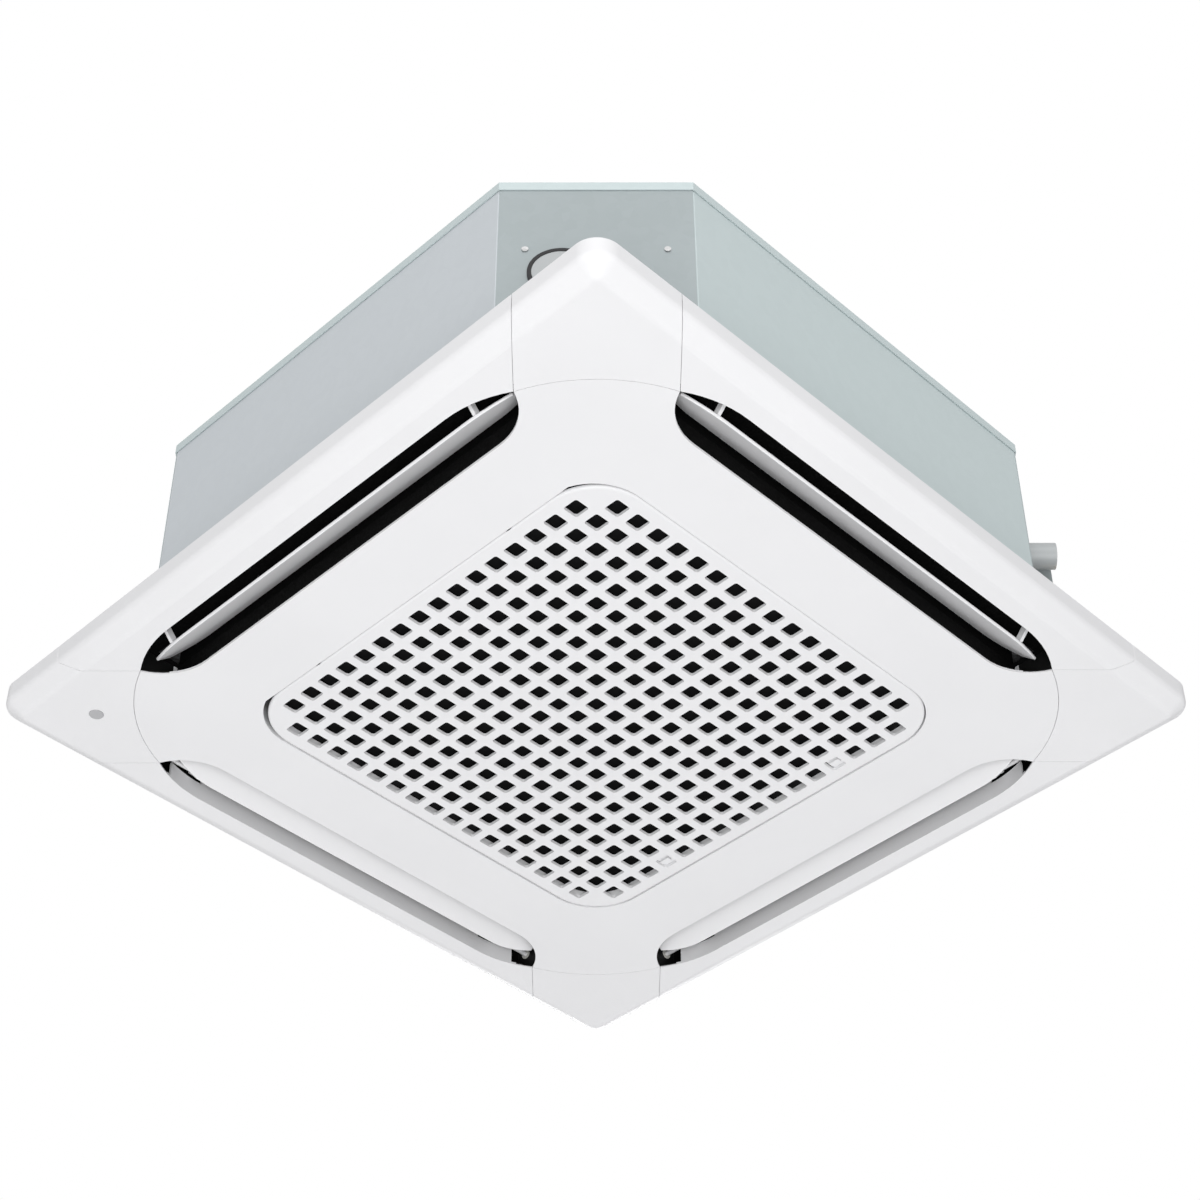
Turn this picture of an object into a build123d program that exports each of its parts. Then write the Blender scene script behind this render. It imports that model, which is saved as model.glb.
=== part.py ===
from build123d import *
import math
import os

# Ceiling cassette air conditioner, in millimetres.
# z = 0 is the ceiling line: the panel hangs below it and the casing stands above it.
# Sides are called front (-Y), right (+X), back (+Y) and left (-X).

os.makedirs("parts", exist_ok=True)

# ---- clearances ----
seam_gap = 0.5            # between fixed trims seen from below
slip_gap = 0.3            # between fixed pieces that slide together
running_gap = 0.05        # radial, between a pin or shaft and its bore
swing_gap = 2.5           # between a vane and the long sides of its slot
screw_gap = 0.25          # radial, round a screw shank

# ---- ceiling panel ----
panel_side = 950.0
panel_corner_radius = 28.0
panel_depth = 36.0        # ceiling line down to the flat face
skin = 3.0                # moulded wall of the panel
rim_drop = 13.0           # height of the rolled rim's slope
rim_run = 20.0            # width of the rolled rim's slope
rim_foot_radius = 9.0     # rounding between the slope and the side
rim_face_radius = 14.0    # rounding between the slope and the face

# ---- outlet slots, measured outward from the middle of the panel ----
slot_inner = 368.0
slot_outer = 430.5
slot_tip = 409.0          # where the two long sides meet
slot_half_length = 295.0
slot_inner_straight = 232.0
slot_outer_straight = 220.0

# ---- outlet ducts of black foam behind the slots ----
duct_wall = 5.0
duct_roof = 2.0
duct_end_space = 2.0      # past the slot tips
duct_side_space = 7.0     # past the long sides of the slot
lip_top = -8.0            # white lip along the straight outer edge of a slot
lip_end_top = -14.0       # and round its ends, under the vane's shafts
lip_end_reach = 270.0
duct_mouth = 32.0         # width of the inlet of a duct at the ceiling line

# ---- corner covers ----
cover_arc_bulge = 16.3    # height of the inner arc over its chord
cover_lip = 8.0           # the frame's backing reaches this far past a cover
panel_screw_place = 530.0 # from the middle, along the diagonal
well_radius = 8.0
well_wall = 2.0
panel_screw_radius = 2.5
panel_screw_head_radius = 5.0
panel_screw_head = 3.6
panel_screw_length = 12.0

# ---- vanes ----
vane_pivot_offset = 423.0
vane_pivot_height = -8.5
vane_drop = 27.5          # pivot line to the outer face of the blade
vane_thickness = 3.5
vane_edge_radius = 1.2
vane_end_reach = 13.0     # blade ends stay this far inside the slot tips
vane_rest_angle = 42.0
vane_arm_place = 240.0    # from the middle of the blade
vane_arm_thickness = 4.0
vane_arm_width = 8.0
vane_eye_radius = 5.0
vane_shaft_radius = 3.0
bush_wall = 1.6
bush_flange = 1.2
bush_flange_width = 1.6
motor_socket_depth = 10.0
vane_motor_radius = 12.0
vane_motor_length = 15.0
vane_motor_rise = -7.5    # the motor's middle above its output

# ---- inlet grille ----
grille_side = 556.0
grille_corner_radius = 65.0
grille_gap = 1.2          # all round, so the rounded edge can swing past
grille_plate = 4.0
grille_edge_radius = 3.0
hole_pitch = 29.6
hole_side = 19.0
hole_corner_radius = 3.0
holes_per_side = 18
hole_border = 1.8         # field of rows past the outermost holes
opening_wall = 3.0        # upright wall round the frame's inlet opening
rib_count = 3

# ---- grille hinge ----
hinge_inset = 7.0         # pivot line inside the grille's edge
hinge_height = grille_plate - panel_depth
swing_room = 5.0          # the opening reaches this much further at its hinge-side corners
hinge_place = 150.0       # from the middle, each side
hinge_pin_radius = 1.2
hinge_eye_radius = 2.6
lug_width = 6.0
lug_side_gap = 1.0
lug_neck = 5.2
lug_arm_bottom = -18.0
lug_arm_top = -12.0
knuckle_width = 6.0
pocket_floor = 1.0        # skin left under the lug
pocket_reach = 7.0        # past the pivot line

# ---- grille latches ----
latch_pitch = 267.4
latch_travel = 5.0
latch_width = 18.0
latch_thickness = 3.0
latch_length = 32.0
latch_tab_length = 6.0
latch_tab_width = 13.0
latch_tab_drop = 3.6
latch_slack = 0.5

# ---- air filter on the back of the grille ----
filter_inset = 12.0       # from the grille's edge
filter_bar = 4.0
filter_height = 6.0
filter_rest_wall = 3.0
filter_rest_height = 7.0
mesh_thickness = 1.0
filter_gaps = 4

# ---- receiver lens ----
lens_x = -389.0
lens_y = -398.0
lens_radius = 8.0
lens_stand = 0.6

# ---- casing of galvanised sheet ----
casing_side = 840.0
casing_leg = 145.0        # cut off each corner, along the side
casing_height = 288.0
seal_thickness = 4.0
seal_width = 20.0
sheet = 1.2
top_lip = 12.0
side_flange = 15.0
bead_height = 3.0
bead_width = 22.0
bead_length = 150.0
bead_start = 190.0
hub_pad_radius = 165.0
tab_width = 64.0
tab_reach = 50.0
pan_flange = 45.0         # lower flange of a corner plate, inward under the pan
casing_screw_radius = 1.9
casing_screw_head = 3.6
casing_screw_cap = 1.8
casing_screw_place = 73.5
casing_screw_low = 40.0
casing_screw_high = 184.0

# ---- hanger brackets ----
hanger_pitch_x = 787.0
hanger_pitch_y = 671.0
hanger_height = 80.0
hanger_sheet = 2.5
hanger_width = 46.0
hanger_leg = 55.0
hanger_slot_width = 12.0
hanger_slot_length = 24.0
hanger_beyond = 22.0      # past the slot's middle

# ---- service cap on the near corner plate ----
cap_place = -35.0
cap_height = 147.0
cap_radius = 31.5
cap_thickness = 3.0
cap_neck_radius = 27.0
cap_neck = 10.0
gasket_width = 4.5
gasket_thickness = 4.2

# ---- foam liner ----
liner_side = 22.0
liner_top = 20.0
liner_lift = 18.0         # its lower edge above the casing's lower edge
motor_window_radius = 122.0

# ---- drain pan ----
pan_half = 358.0
pan_top = 62.0
pan_floor = 33.0
pan_opening = 242.0
pan_ledge = 10.0
pan_ledge_height = 40.0
pan_rib = 10.0
rib_height = 7.0
trough_side = 6.0         # trough wider than the coil, each side
sump_edge = 205.0
sump_half = 318.0         # the sump's outer walls, from the middle
bell_corner_radius = 30.0

# ---- coil ----
coil_half = 302.0
coil_thickness = 40.0
coil_corner_radius = 70.0
coil_top_gap = 1.0
coil_end = 200.0
tube_sheet = 1.5
bend_tube_radius = 4.0
bend_radius = 9.5
bend_count = 6

# ---- bell mouth ----
bell_plate = 3.0
bell_throat_radius = 142.0
bell_wall = 3.0
bell_flare = 25.0
bell_height = 72.0

# ---- fan ----
fan_radius = 220.0
fan_top = 235.0
fan_plate = 3.0
fan_cup_radius = 105.0
fan_cup_depth = 45.0
fan_cup_floor_radius = 88.0
fan_boss_radius = 16.0
fan_boss_height = 20.0
fan_eye_gap = 5.0
fan_shroud_inner = 104.0
fan_shroud_outer = 135.0
blade_count = 7
blade_thickness = 4.0
blade_inner = 128.0
blade_turn = 38.0         # degrees that a blade leans back

# ---- fan motor ----
motor_radius = 75.0
motor_bottom = 205.0
motor_top = 268.0
motor_ear_place = 95.0
motor_ear_radius = 13.0
motor_flange = 6.0
shaft_radius = 6.0
shaft_bottom = 160.0
nut_across = 19.0
nut_height = 8.0
bush_radius = 10.0

# ---- refrigerant pipes, at the back right corner ----
gas_radius = 7.94
gas_place = 40.0          # along the corner plate, toward +Y
gas_height = 155.0
liquid_radius = 4.76
liquid_place = 76.0
liquid_height = 151.0
pipe_wall = 1.0
pipe_reach = 75.0         # past the corner plate
header_height = 170.0
header_bottom = 62.0
gas_nut_across = 27.0
liquid_nut_across = 20.0
gas_nut_length = 24.0
liquid_nut_length = 19.0
pipe_hole_gap = 2.0
guard_reach = 50.0
guard_top_reach = 32.0
guard_low = 166.0
guard_shoulder = 223.0
guard_high = 250.0
guard_start = 22.0
guard_end = 98.0

# ---- drain pump, tube and float ----
drain_place = -4.0
drain_height = 205.0
drain_reach = 48.0
drain_port_radius = 16.0
drain_collar_radius = 19.0
drain_collar = 3.0        # outside the pipe plate, the stop for a hose
drain_bore_radius = 13.0
drain_flange_radius = 22.0
drain_flange = 2.5
drain_tube_radius = 8.0
drain_tube_wall = 1.5
drain_bend_radius = 12.0
riser_run = 14.0          # from the volute to the middle of the riser
pump_distance = 395.0     # from the middle, along the diagonal
volute_radius = 20.0
volute_wall = 2.5
volute_height = 24.0
pump_motor_radius = 22.0
pump_motor_bottom = 72.0
pump_motor_top = 118.0
pump_shaft_radius = 2.0
impeller_height = 12.0
impeller_blade = 2.0
impeller_gap = 3.0
impeller_lift = 6.0
float_x = 284.0
float_y = 236.0
float_stem_radius = 2.5
float_radius = 10.0
float_height = 12.0
float_travel = 12.0
float_foot_radius = 7.0
float_foot = 3.0
float_stem_height = 3 * float_foot + float_height + float_travel + 2 * slip_gap

# ---- control box under the bell mouth plate ----
box_outer = 240.0
box_width = 66.0
box_length = 280.0
box_depth = 45.0
box_wall = 1.2
board_thickness = 1.6
board_drop = 9.0
post_radius = 4.0
terminal_length = 70.0
terminal_width = 20.0
terminal_height = 13.0
terminal_ways = 5

# ---- cable gland on the back left corner plate ----
gland_height = 200.0
gland_bore = 9.0
gland_wall = 3.0
gland_collar = 3.0
gland_length = 9.0

# ---- sizes that follow ----
side_turns = {"front": 0.0, "right": 90.0, "back": 180.0, "left": 270.0}
corner_turns = {"front_right": 315.0, "back_right": 45.0, "back_left": 135.0, "front_left": 225.0}
hanger_signs = {"front_right": 1, "back_right": -1, "back_left": 1, "front_left": -1}
root_two = math.sqrt(2)
panel_half = panel_side / 2
grille_half = grille_side / 2
hole_field = (holes_per_side - 1) * hole_pitch + hole_side + 2 * hole_border
face_back = skin - panel_depth
backing_top = 2 * skin - panel_depth
casing_half = casing_side / 2
casing_bottom = seal_thickness
casing_top = casing_bottom + casing_height
plate_face = casing_half - sheet - slip_gap
corner_face_distance = (2 * casing_half - casing_leg) / root_two - sheet - slip_gap
flange_top = casing_bottom + sheet
coil_bottom = pan_floor + rib_height
top_inside = casing_top - sheet
liner_under = top_inside - liner_top
opening_half = grille_half + grille_gap
hinge_line = grille_half - hinge_inset
bell_under = pan_ledge_height
bell_tip = bell_under + bell_height
eye_radius = bell_throat_radius + bell_wall + fan_eye_gap
corner_plate_half = plate_face * root_two - corner_face_distance
flange_distance = corner_face_distance - sheet - running_gap
liner_outset = casing_half * root_two - casing_leg / root_two - flange_distance + sheet + slip_gap
duct_inner = slot_inner - duct_side_space
duct_outer = slot_outer + duct_side_space
duct_half = slot_half_length + duct_end_space


def side_plane(turn, height=0.0):
    # x runs along the side, y points to the middle of the unit, z is up
    angle = math.radians(turn)
    return Plane((0, 0, height), x_dir=(math.cos(angle), math.sin(angle), 0), z_dir=(0, 0, 1))


def wall_plane(turn, distance):
    # upright plane facing outward: x runs along it, y is height, z is outward
    angle = math.radians(turn)
    outward = (math.cos(angle), math.sin(angle), 0)
    along = (-math.sin(angle), math.cos(angle), 0)
    origin = (distance * outward[0], distance * outward[1], 0)
    return Plane(origin, x_dir=along, z_dir=outward)


def vane_plane(turn, lean):
    # on the pivot line of a vane, tilted so that its outer edge hangs down
    angle = math.radians(turn)
    tilt = math.radians(lean)
    along = (math.cos(angle), math.sin(angle), 0)
    inward = (-math.sin(angle), math.cos(angle), 0)
    origin = (-vane_pivot_offset * inward[0], -vane_pivot_offset * inward[1], vane_pivot_height)
    normal = (-math.sin(tilt) * inward[0], -math.sin(tilt) * inward[1], math.cos(tilt))
    return Plane(origin, x_dir=along, z_dir=normal)


def pivot_plane(turn, along):
    # upright plane across the pivot line of a vane: x is inward, y is up, z is along the slot
    angle = math.radians(turn)
    direction = (math.cos(angle), math.sin(angle), 0)
    inward = (-math.sin(angle), math.cos(angle), 0)
    x = along * direction[0] - vane_pivot_offset * inward[0]
    y = along * direction[1] - vane_pivot_offset * inward[1]
    return Plane((x, y, vane_pivot_height), x_dir=inward, z_dir=direction)


def corner_point(turn, outward, along):
    # a point given by its distance outward and along a corner plate
    angle = math.radians(turn)
    x = outward * math.cos(angle) - along * math.sin(angle)
    y = outward * math.sin(angle) + along * math.cos(angle)
    return (x, y)


def save(piece, node):
    piece.part.label = node
    export_step(piece.part, "parts/" + node + ".step")


def slot_outline(shift=0.0):
    # one outlet slot of the front side, moved by shift toward its pivot line
    with BuildSketch(Plane.XY) as outline:
        with BuildLine():
            inner = Line((-slot_inner_straight, shift - slot_inner), (slot_inner_straight, shift - slot_inner))
            TangentArc(inner @ 1, (slot_half_length, shift - slot_tip), tangent=inner % 1)
            TangentArc(inner @ 0, (-slot_half_length, shift - slot_tip), tangent=-(inner % 0))
            outer = Line((-slot_outer_straight, shift - slot_outer), (slot_outer_straight, shift - slot_outer))
            TangentArc(outer @ 1, (slot_half_length, shift - slot_tip), tangent=outer % 1)
            TangentArc(outer @ 0, (-slot_half_length, shift - slot_tip), tangent=-(outer % 0))
        make_face()
    return outline.sketch


def corner_outline(gap):
    # footprint of a corner cover that points along +X, grown by gap
    half_span = (slot_tip - slot_half_length) / root_two
    arc_radius = (half_span ** 2 + cover_arc_bulge ** 2) / (2 * cover_arc_bulge)
    arc_middle = (slot_tip + slot_half_length) / root_two + cover_arc_bulge - arc_radius
    with BuildSketch(Plane.XY) as outline:
        with Locations((arc_middle + panel_half / 2, 0)):
            Rectangle(panel_half, 2 * (half_span + gap))
        with Locations((arc_middle, 0)):
            Circle(arc_radius - gap, mode=Mode.SUBTRACT)
    return outline.sketch


def opening_outline(margin):
    # the frame's inlet opening grown by margin, fuller at the hinge-side corners
    half = opening_half + margin
    radius = grille_corner_radius + grille_gap + margin
    with BuildSketch(Plane.XY) as outline:
        RectangleRounded(2 * half, 2 * half, radius)
        with Locations((0, -swing_room)):
            RectangleRounded(2 * half, 2 * half, radius)
        Rectangle(2 * half, 2 * half, mode=Mode.INTERSECT)
    return outline.sketch


def cross_outline(reach, arm, mode=Mode.ADD):
    # a square of the given reach less its four corners
    Rectangle(reach, arm, mode=mode)
    Rectangle(arm, reach, mode=mode)


def second_rows(first_row, count, pitch, field, opening, opening_radius):
    # every second row of a square pattern of openings that has none at its four corners
    for row in range(first_row, count, 2):
        in_row = count - 2 if row in (0, count - 1) else count
        with Locations((0, (row - (count - 1) / 2) * pitch)):
            Rectangle(in_row * pitch, pitch)
            with GridLocations(pitch, 0, in_row, 1):
                RectangleRounded(opening, opening, opening_radius, mode=Mode.SUBTRACT)
    Rectangle(field, field, mode=Mode.INTERSECT)


def panel_form(inset, rounded):
    # the outer shape of the panel, moved inward by inset
    side = panel_side - 2 * inset
    with BuildPart() as form:
        with BuildSketch(Plane.XY):
            RectangleRounded(side, side, panel_corner_radius - inset)
        extrude(amount=inset - panel_depth)
        face = form.faces().sort_by(Axis.Z)[0]
        chamfer(face.edges(), length=rim_run - inset, length2=rim_drop - inset / 2, reference=face)
        if rounded:
            foot = form.edges().filter_by_position(Axis.Z, rim_drop - panel_depth - 0.1, rim_drop - panel_depth + 0.1)
            fillet(foot, rim_foot_radius)
            rim = form.faces().sort_by(Axis.Z)[0].edges()
            fillet(rim, rim_face_radius)
    return form.part


def octagon(half, leg):
    with BuildSketch(Plane.XY) as shape:
        Rectangle(2 * half, 2 * half)
        chamfer(shape.vertices(), leg)
    return shape.sketch


def inner_octagon(inset):
    # the casing's octagon, with every face moved inward by inset
    return octagon(casing_half - inset, casing_leg - inset * (2 - root_two))


# ---- panel frame ----
with BuildPart() as corner_backing:
    add(panel_form(skin, False))
    add(panel_form(2 * skin, False), mode=Mode.SUBTRACT)
    with BuildSketch(Plane.XY):
        for turn in corner_turns.values():
            add(corner_outline(cover_lip), rotation=turn)
    extrude(amount=-panel_depth, mode=Mode.INTERSECT)

outer_form = panel_form(0, True)
with BuildPart() as panel_frame:
    add(outer_form)
    add(panel_form(skin, False), mode=Mode.SUBTRACT)
    with BuildSketch(Plane.XY):
        for turn in corner_turns.values():
            add(corner_outline(seam_gap), rotation=turn)
    extrude(amount=-panel_depth, mode=Mode.SUBTRACT)
    add(corner_backing.part)
    # upright wall round the inlet opening
    with BuildSketch(Plane.XY):
        add(opening_outline(opening_wall))
    extrude(amount=face_back)
    # end plates that carry the vane bushes, and the ribs between the walls
    for turn in side_turns.values():
        with BuildSketch(side_plane(turn)):
            for end in (-1, 1):
                with Locations((end * (duct_half + skin / 2), -(duct_inner + duct_outer) / 2)):
                    Rectangle(skin, duct_outer - duct_inner + 2 * duct_wall)
            with Locations((0, -(opening_half + duct_inner - duct_wall) / 2)):
                with GridLocations(hinge_place, 0, rib_count, 1):
                    Rectangle(skin, duct_inner - duct_wall - opening_half)
            with Locations((0, -(duct_outer + duct_wall + panel_half) / 2)):
                with GridLocations(hinge_place, 0, rib_count, 1):
                    Rectangle(skin, panel_half - duct_outer - duct_wall - skin)
        extrude(amount=face_back)
    add(outer_form, mode=Mode.INTERSECT)
    # screw wells
    with BuildSketch(Plane.XY):
        with PolarLocations(panel_screw_place, 4, 45):
            Circle(well_radius + well_wall)
    extrude(amount=face_back)
    with BuildSketch(Plane.XY.offset(-panel_depth)):
        with PolarLocations(panel_screw_place, 4, 45):
            Circle(well_radius)
    extrude(amount=panel_depth - skin, mode=Mode.SUBTRACT)
    with BuildSketch(Plane.XY):
        with PolarLocations(panel_screw_place, 4, 45):
            Circle(panel_screw_radius + screw_gap)
    extrude(amount=-panel_depth, mode=Mode.SUBTRACT)
    # slots and inlet opening
    for turn in side_turns.values():
        with BuildSketch(side_plane(turn)):
            add(slot_outline())
        extrude(amount=-panel_depth, mode=Mode.SUBTRACT)
        with BuildSketch(side_plane(turn)):
            with Locations((0, -(duct_inner + duct_outer) / 2)):
                Rectangle(2 * duct_half, duct_outer - duct_inner + 2 * duct_wall)
        extrude(amount=face_back, mode=Mode.SUBTRACT)
        with BuildSketch(side_plane(turn, face_back)):
            with Locations((0, -slot_outer - skin / 2)):
                Rectangle(2 * slot_outer_straight, skin)
        extrude(amount=lip_top - face_back)
        with BuildSketch(side_plane(turn, face_back)):
            add(slot_outline())
            offset(amount=skin, kind=Kind.ARC)
            add(slot_outline(), mode=Mode.SUBTRACT)
            with Locations((0, -slot_tip - skin - (slot_outer - slot_tip) / 2)):
                Rectangle(2 * lip_end_reach, slot_outer - slot_tip + 2 * skin, mode=Mode.INTERSECT)
        extrude(amount=lip_end_top - face_back)
        with BuildSketch(pivot_plane(turn, -panel_half)):
            Circle(vane_shaft_radius + running_gap + bush_wall)
        extrude(amount=panel_side, mode=Mode.SUBTRACT)
    with BuildSketch(Plane.XY):
        add(opening_outline(0))
    extrude(amount=-panel_depth, mode=Mode.SUBTRACT)
    # hinge lugs that reach in over the edge of the grille
    for place in (-hinge_place, hinge_place):
        with BuildSketch(Plane.YZ.offset(place - lug_width / 2)):
            with Locations((-(opening_half + hinge_line) / 2, (lug_arm_bottom + lug_arm_top) / 2)):
                Rectangle(opening_half - hinge_line + lug_neck, lug_arm_top - lug_arm_bottom)
            with Locations((-hinge_line, (lug_arm_top + hinge_height) / 2)):
                Rectangle(lug_neck, lug_arm_top - hinge_height)
            with Locations((-hinge_line, hinge_height)):
                Circle(hinge_eye_radius)
                Circle(hinge_pin_radius + running_gap, mode=Mode.SUBTRACT)
        extrude(amount=lug_width)
    # windows that the latches slide into
    with BuildSketch(Plane.XZ.offset(-grille_half - latch_travel - slip_gap)):
        with Locations((0, hinge_height + slip_gap + latch_thickness / 2)):
            with GridLocations(latch_pitch, 0, 2, 1):
                Rectangle(latch_width + 4 * latch_slack, latch_thickness + 4 * latch_slack)
    extrude(amount=latch_travel + slip_gap, mode=Mode.SUBTRACT)
    # receiver window
    with BuildSketch(Plane.XY.offset(-panel_depth)):
        with Locations((lens_x, lens_y)):
            Circle(lens_radius + slip_gap)
    extrude(amount=3 * skin, mode=Mode.SUBTRACT)
save(panel_frame, "panel_frame")

# ---- corner covers ----
for corner, turn in corner_turns.items():
    with BuildPart() as corner_cover:
        add(panel_form(0, True))
        add(panel_form(skin, False), mode=Mode.SUBTRACT)
        with BuildSketch(Plane.XY):
            add(corner_outline(0), rotation=turn)
        extrude(amount=-panel_depth, mode=Mode.INTERSECT)
        if corner == "front_left":
            with BuildSketch(Plane.XY.offset(-panel_depth)):
                with Locations((lens_x, lens_y)):
                    Circle(lens_radius + slip_gap)
            extrude(amount=2 * skin, mode=Mode.SUBTRACT)
    save(corner_cover, "corner_cover_" + corner)

# ---- receiver lens, a stem behind its window with a rim on the inside ----
with BuildPart() as receiver_lens:
    with BuildSketch(Plane.XY.offset(-panel_depth - lens_stand)):
        with Locations((lens_x, lens_y)):
            Circle(lens_radius)
    extrude(amount=lens_stand + 2 * skin)
    fillet(receiver_lens.edges().sort_by(Axis.Z)[0], lens_stand / 2)
    with BuildSketch(Plane.XY.offset(backing_top)):
        with Locations((lens_x, lens_y)):
            Circle(lens_radius + skin)
    extrude(amount=skin / 2)
save(receiver_lens, "receiver_lens")

# ---- outlet ducts: foam channels behind the slots ----
for side, turn in side_turns.items():
    with BuildPart() as outlet_duct:
        with BuildSketch(side_plane(turn)):
            with Locations((0, -(duct_inner + duct_outer) / 2)):
                Rectangle(2 * (duct_half - slip_gap), duct_outer - duct_inner + 2 * (duct_wall - slip_gap))
        extrude(amount=face_back)
        with BuildSketch(side_plane(turn, -duct_roof)):
            with Locations((0, -(duct_inner + duct_outer) / 2)):
                Rectangle(2 * duct_half, duct_outer - duct_inner)
        extrude(amount=face_back, mode=Mode.SUBTRACT)
        with BuildSketch(side_plane(turn)):
            with Locations((0, -duct_inner - duct_mouth / 2)):
                Rectangle(2 * (duct_half - duct_wall), duct_mouth)
        extrude(amount=-duct_roof, mode=Mode.SUBTRACT)
    save(outlet_duct, "outlet_duct_" + side)

# ---- vanes: blade, two arms and two stub shafts in one moulding ----
for side, turn in side_turns.items():
    with BuildPart() as vane:
        blade_plane = vane_plane(turn, vane_rest_angle)
        with BuildSketch(blade_plane.offset(-vane_drop)):
            with Locations((0, vane_pivot_offset)):
                add(slot_outline())
            offset(amount=-swing_gap, kind=Kind.INTERSECTION)
            Rectangle(2 * (slot_half_length - vane_end_reach), panel_side, mode=Mode.INTERSECT)
        extrude(amount=vane_thickness)
        fillet(vane.edges().filter_by(Axis.Z, reverse=True), vane_edge_radius)
        for end in (-1, 1):
            arm_middle = end * vane_arm_place
            with BuildSketch(pivot_plane(turn, arm_middle - vane_arm_thickness / 2)):
                Circle(vane_eye_radius)
            extrude(amount=vane_arm_thickness)
            with BuildSketch(blade_plane.offset(vane_thickness - vane_drop)):
                with Locations((arm_middle, 0)):
                    Rectangle(vane_arm_thickness, vane_arm_width)
            extrude(amount=vane_drop - vane_thickness)
        with BuildSketch(pivot_plane(turn, vane_arm_place)):
            Circle(vane_shaft_radius)
        extrude(amount=duct_half + skin + motor_socket_depth - vane_arm_place)
        with BuildSketch(pivot_plane(turn, -vane_arm_place)):
            Circle(vane_shaft_radius)
        extrude(amount=vane_arm_place - duct_half - skin - bush_flange)
    save(vane, "vane_" + side)

# ---- vane bushes, flanged, in the end plates of the frame ----
with BuildPart() as vane_bushes:
    for turn in side_turns.values():
        for end in (-1, 1):
            with BuildSketch(pivot_plane(turn, end * duct_half)):
                Circle(vane_shaft_radius + running_gap + bush_wall - running_gap / 2)
                Circle(vane_shaft_radius + running_gap, mode=Mode.SUBTRACT)
            extrude(amount=end * skin)
            with BuildSketch(pivot_plane(turn, end * duct_half)):
                Circle(vane_shaft_radius + running_gap + bush_wall + bush_flange_width)
                Circle(vane_shaft_radius + running_gap, mode=Mode.SUBTRACT)
            extrude(amount=-end * bush_flange)
save(vane_bushes, "vane_bushes")

# ---- vane motors, one on the outer end plate of each slot ----
with BuildPart() as vane_motors:
    for turn in side_turns.values():
        with BuildSketch(pivot_plane(turn, duct_half + skin)):
            with Locations((0, vane_motor_rise)):
                Circle(vane_motor_radius)
                Rectangle(2 * vane_motor_radius + 4 * vane_shaft_radius, 2 * vane_shaft_radius)
            Circle(vane_shaft_radius + running_gap, mode=Mode.SUBTRACT)
        extrude(amount=vane_motor_length)
save(vane_motors, "vane_motors")

# ---- panel screws, up through the wells into the casing's corner tabs ----
with BuildPart() as panel_screws:
    with BuildSketch(Plane.XY.offset(-skin)):
        with PolarLocations(panel_screw_place, 4, 45):
            Circle(panel_screw_head_radius)
    extrude(amount=-panel_screw_head)
    with BuildSketch(Plane.XY.offset(-skin)):
        with PolarLocations(panel_screw_place, 4, 45):
            Circle(panel_screw_radius)
    extrude(amount=panel_screw_length)
save(panel_screws, "panel_screws")

# ---- panel seal, between the ducts and the casing's lower flange ----
with BuildPart() as panel_seal:
    with BuildSketch(Plane.XY):
        add(inner_octagon(0))
        add(inner_octagon(seal_width), mode=Mode.SUBTRACT)
    extrude(amount=seal_thickness)
save(panel_seal, "panel_seal")

# ---- inlet grille: a solid border first, then the rows of air holes ----
with BuildPart() as inlet_grille:
    with BuildSketch(Plane.XY.offset(-panel_depth)):
        RectangleRounded(grille_side, grille_side, grille_corner_radius)
    extrude(amount=grille_plate)
    fillet(inlet_grille.edges().group_by(Axis.Z)[0], grille_edge_radius)
    with BuildSketch(Plane.XY.offset(-panel_depth)):
        cross_outline(hole_field, hole_pitch * (holes_per_side - 2))
    extrude(amount=grille_plate, mode=Mode.SUBTRACT)
    # raised wall that the air filter rests on
    with BuildSketch(Plane.XY.offset(hinge_height)):
        rest_side = grille_side - 2 * filter_inset
        rest_radius = grille_corner_radius - filter_inset
        RectangleRounded(rest_side, rest_side, rest_radius)
        offset(amount=-filter_rest_wall, kind=Kind.INTERSECTION, mode=Mode.SUBTRACT)
    extrude(amount=filter_rest_height)
    # windows in that wall for the latches
    with BuildSketch(Plane.XZ.offset(-grille_half)):
        with Locations((0, hinge_height + slip_gap + latch_thickness / 2)):
            with GridLocations(latch_pitch, 0, 2, 1):
                Rectangle(latch_width + 2 * latch_slack, latch_thickness + 2 * slip_gap)
    extrude(amount=2 * filter_inset, mode=Mode.SUBTRACT)
    # hinge knuckles with a pocket between each pair for the frame's lug
    for place in (-hinge_place, hinge_place):
        pocket_width = lug_width + 2 * lug_side_gap
        with BuildSketch(Plane.YZ.offset(place - pocket_width / 2 - knuckle_width)):
            with Locations((-hinge_line, hinge_height)):
                Circle(hinge_eye_radius)
        extrude(amount=pocket_width + 2 * knuckle_width)
        with BuildSketch(Plane.XY.offset(pocket_floor - panel_depth)):
            with Locations((place, -hinge_line - (hinge_inset - pocket_reach) / 2)):
                Rectangle(pocket_width, hinge_inset + pocket_reach)
        extrude(amount=panel_depth, mode=Mode.SUBTRACT)
        with BuildSketch(Plane.YZ.offset(place - pocket_width / 2 - knuckle_width)):
            with Locations((-hinge_line, hinge_height)):
                Circle(hinge_pin_radius)
        extrude(amount=pocket_width + 2 * knuckle_width, mode=Mode.SUBTRACT)
    # air holes: a square pattern less its four corner holes
    for first_row in (0, 1):
        with BuildSketch(Plane.XY.offset(-panel_depth)):
            second_rows(first_row, holes_per_side, hole_pitch, hole_field, hole_side, hole_corner_radius)
        extrude(amount=grille_plate, clean=False)
save(inlet_grille, "inlet_grille")

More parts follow.
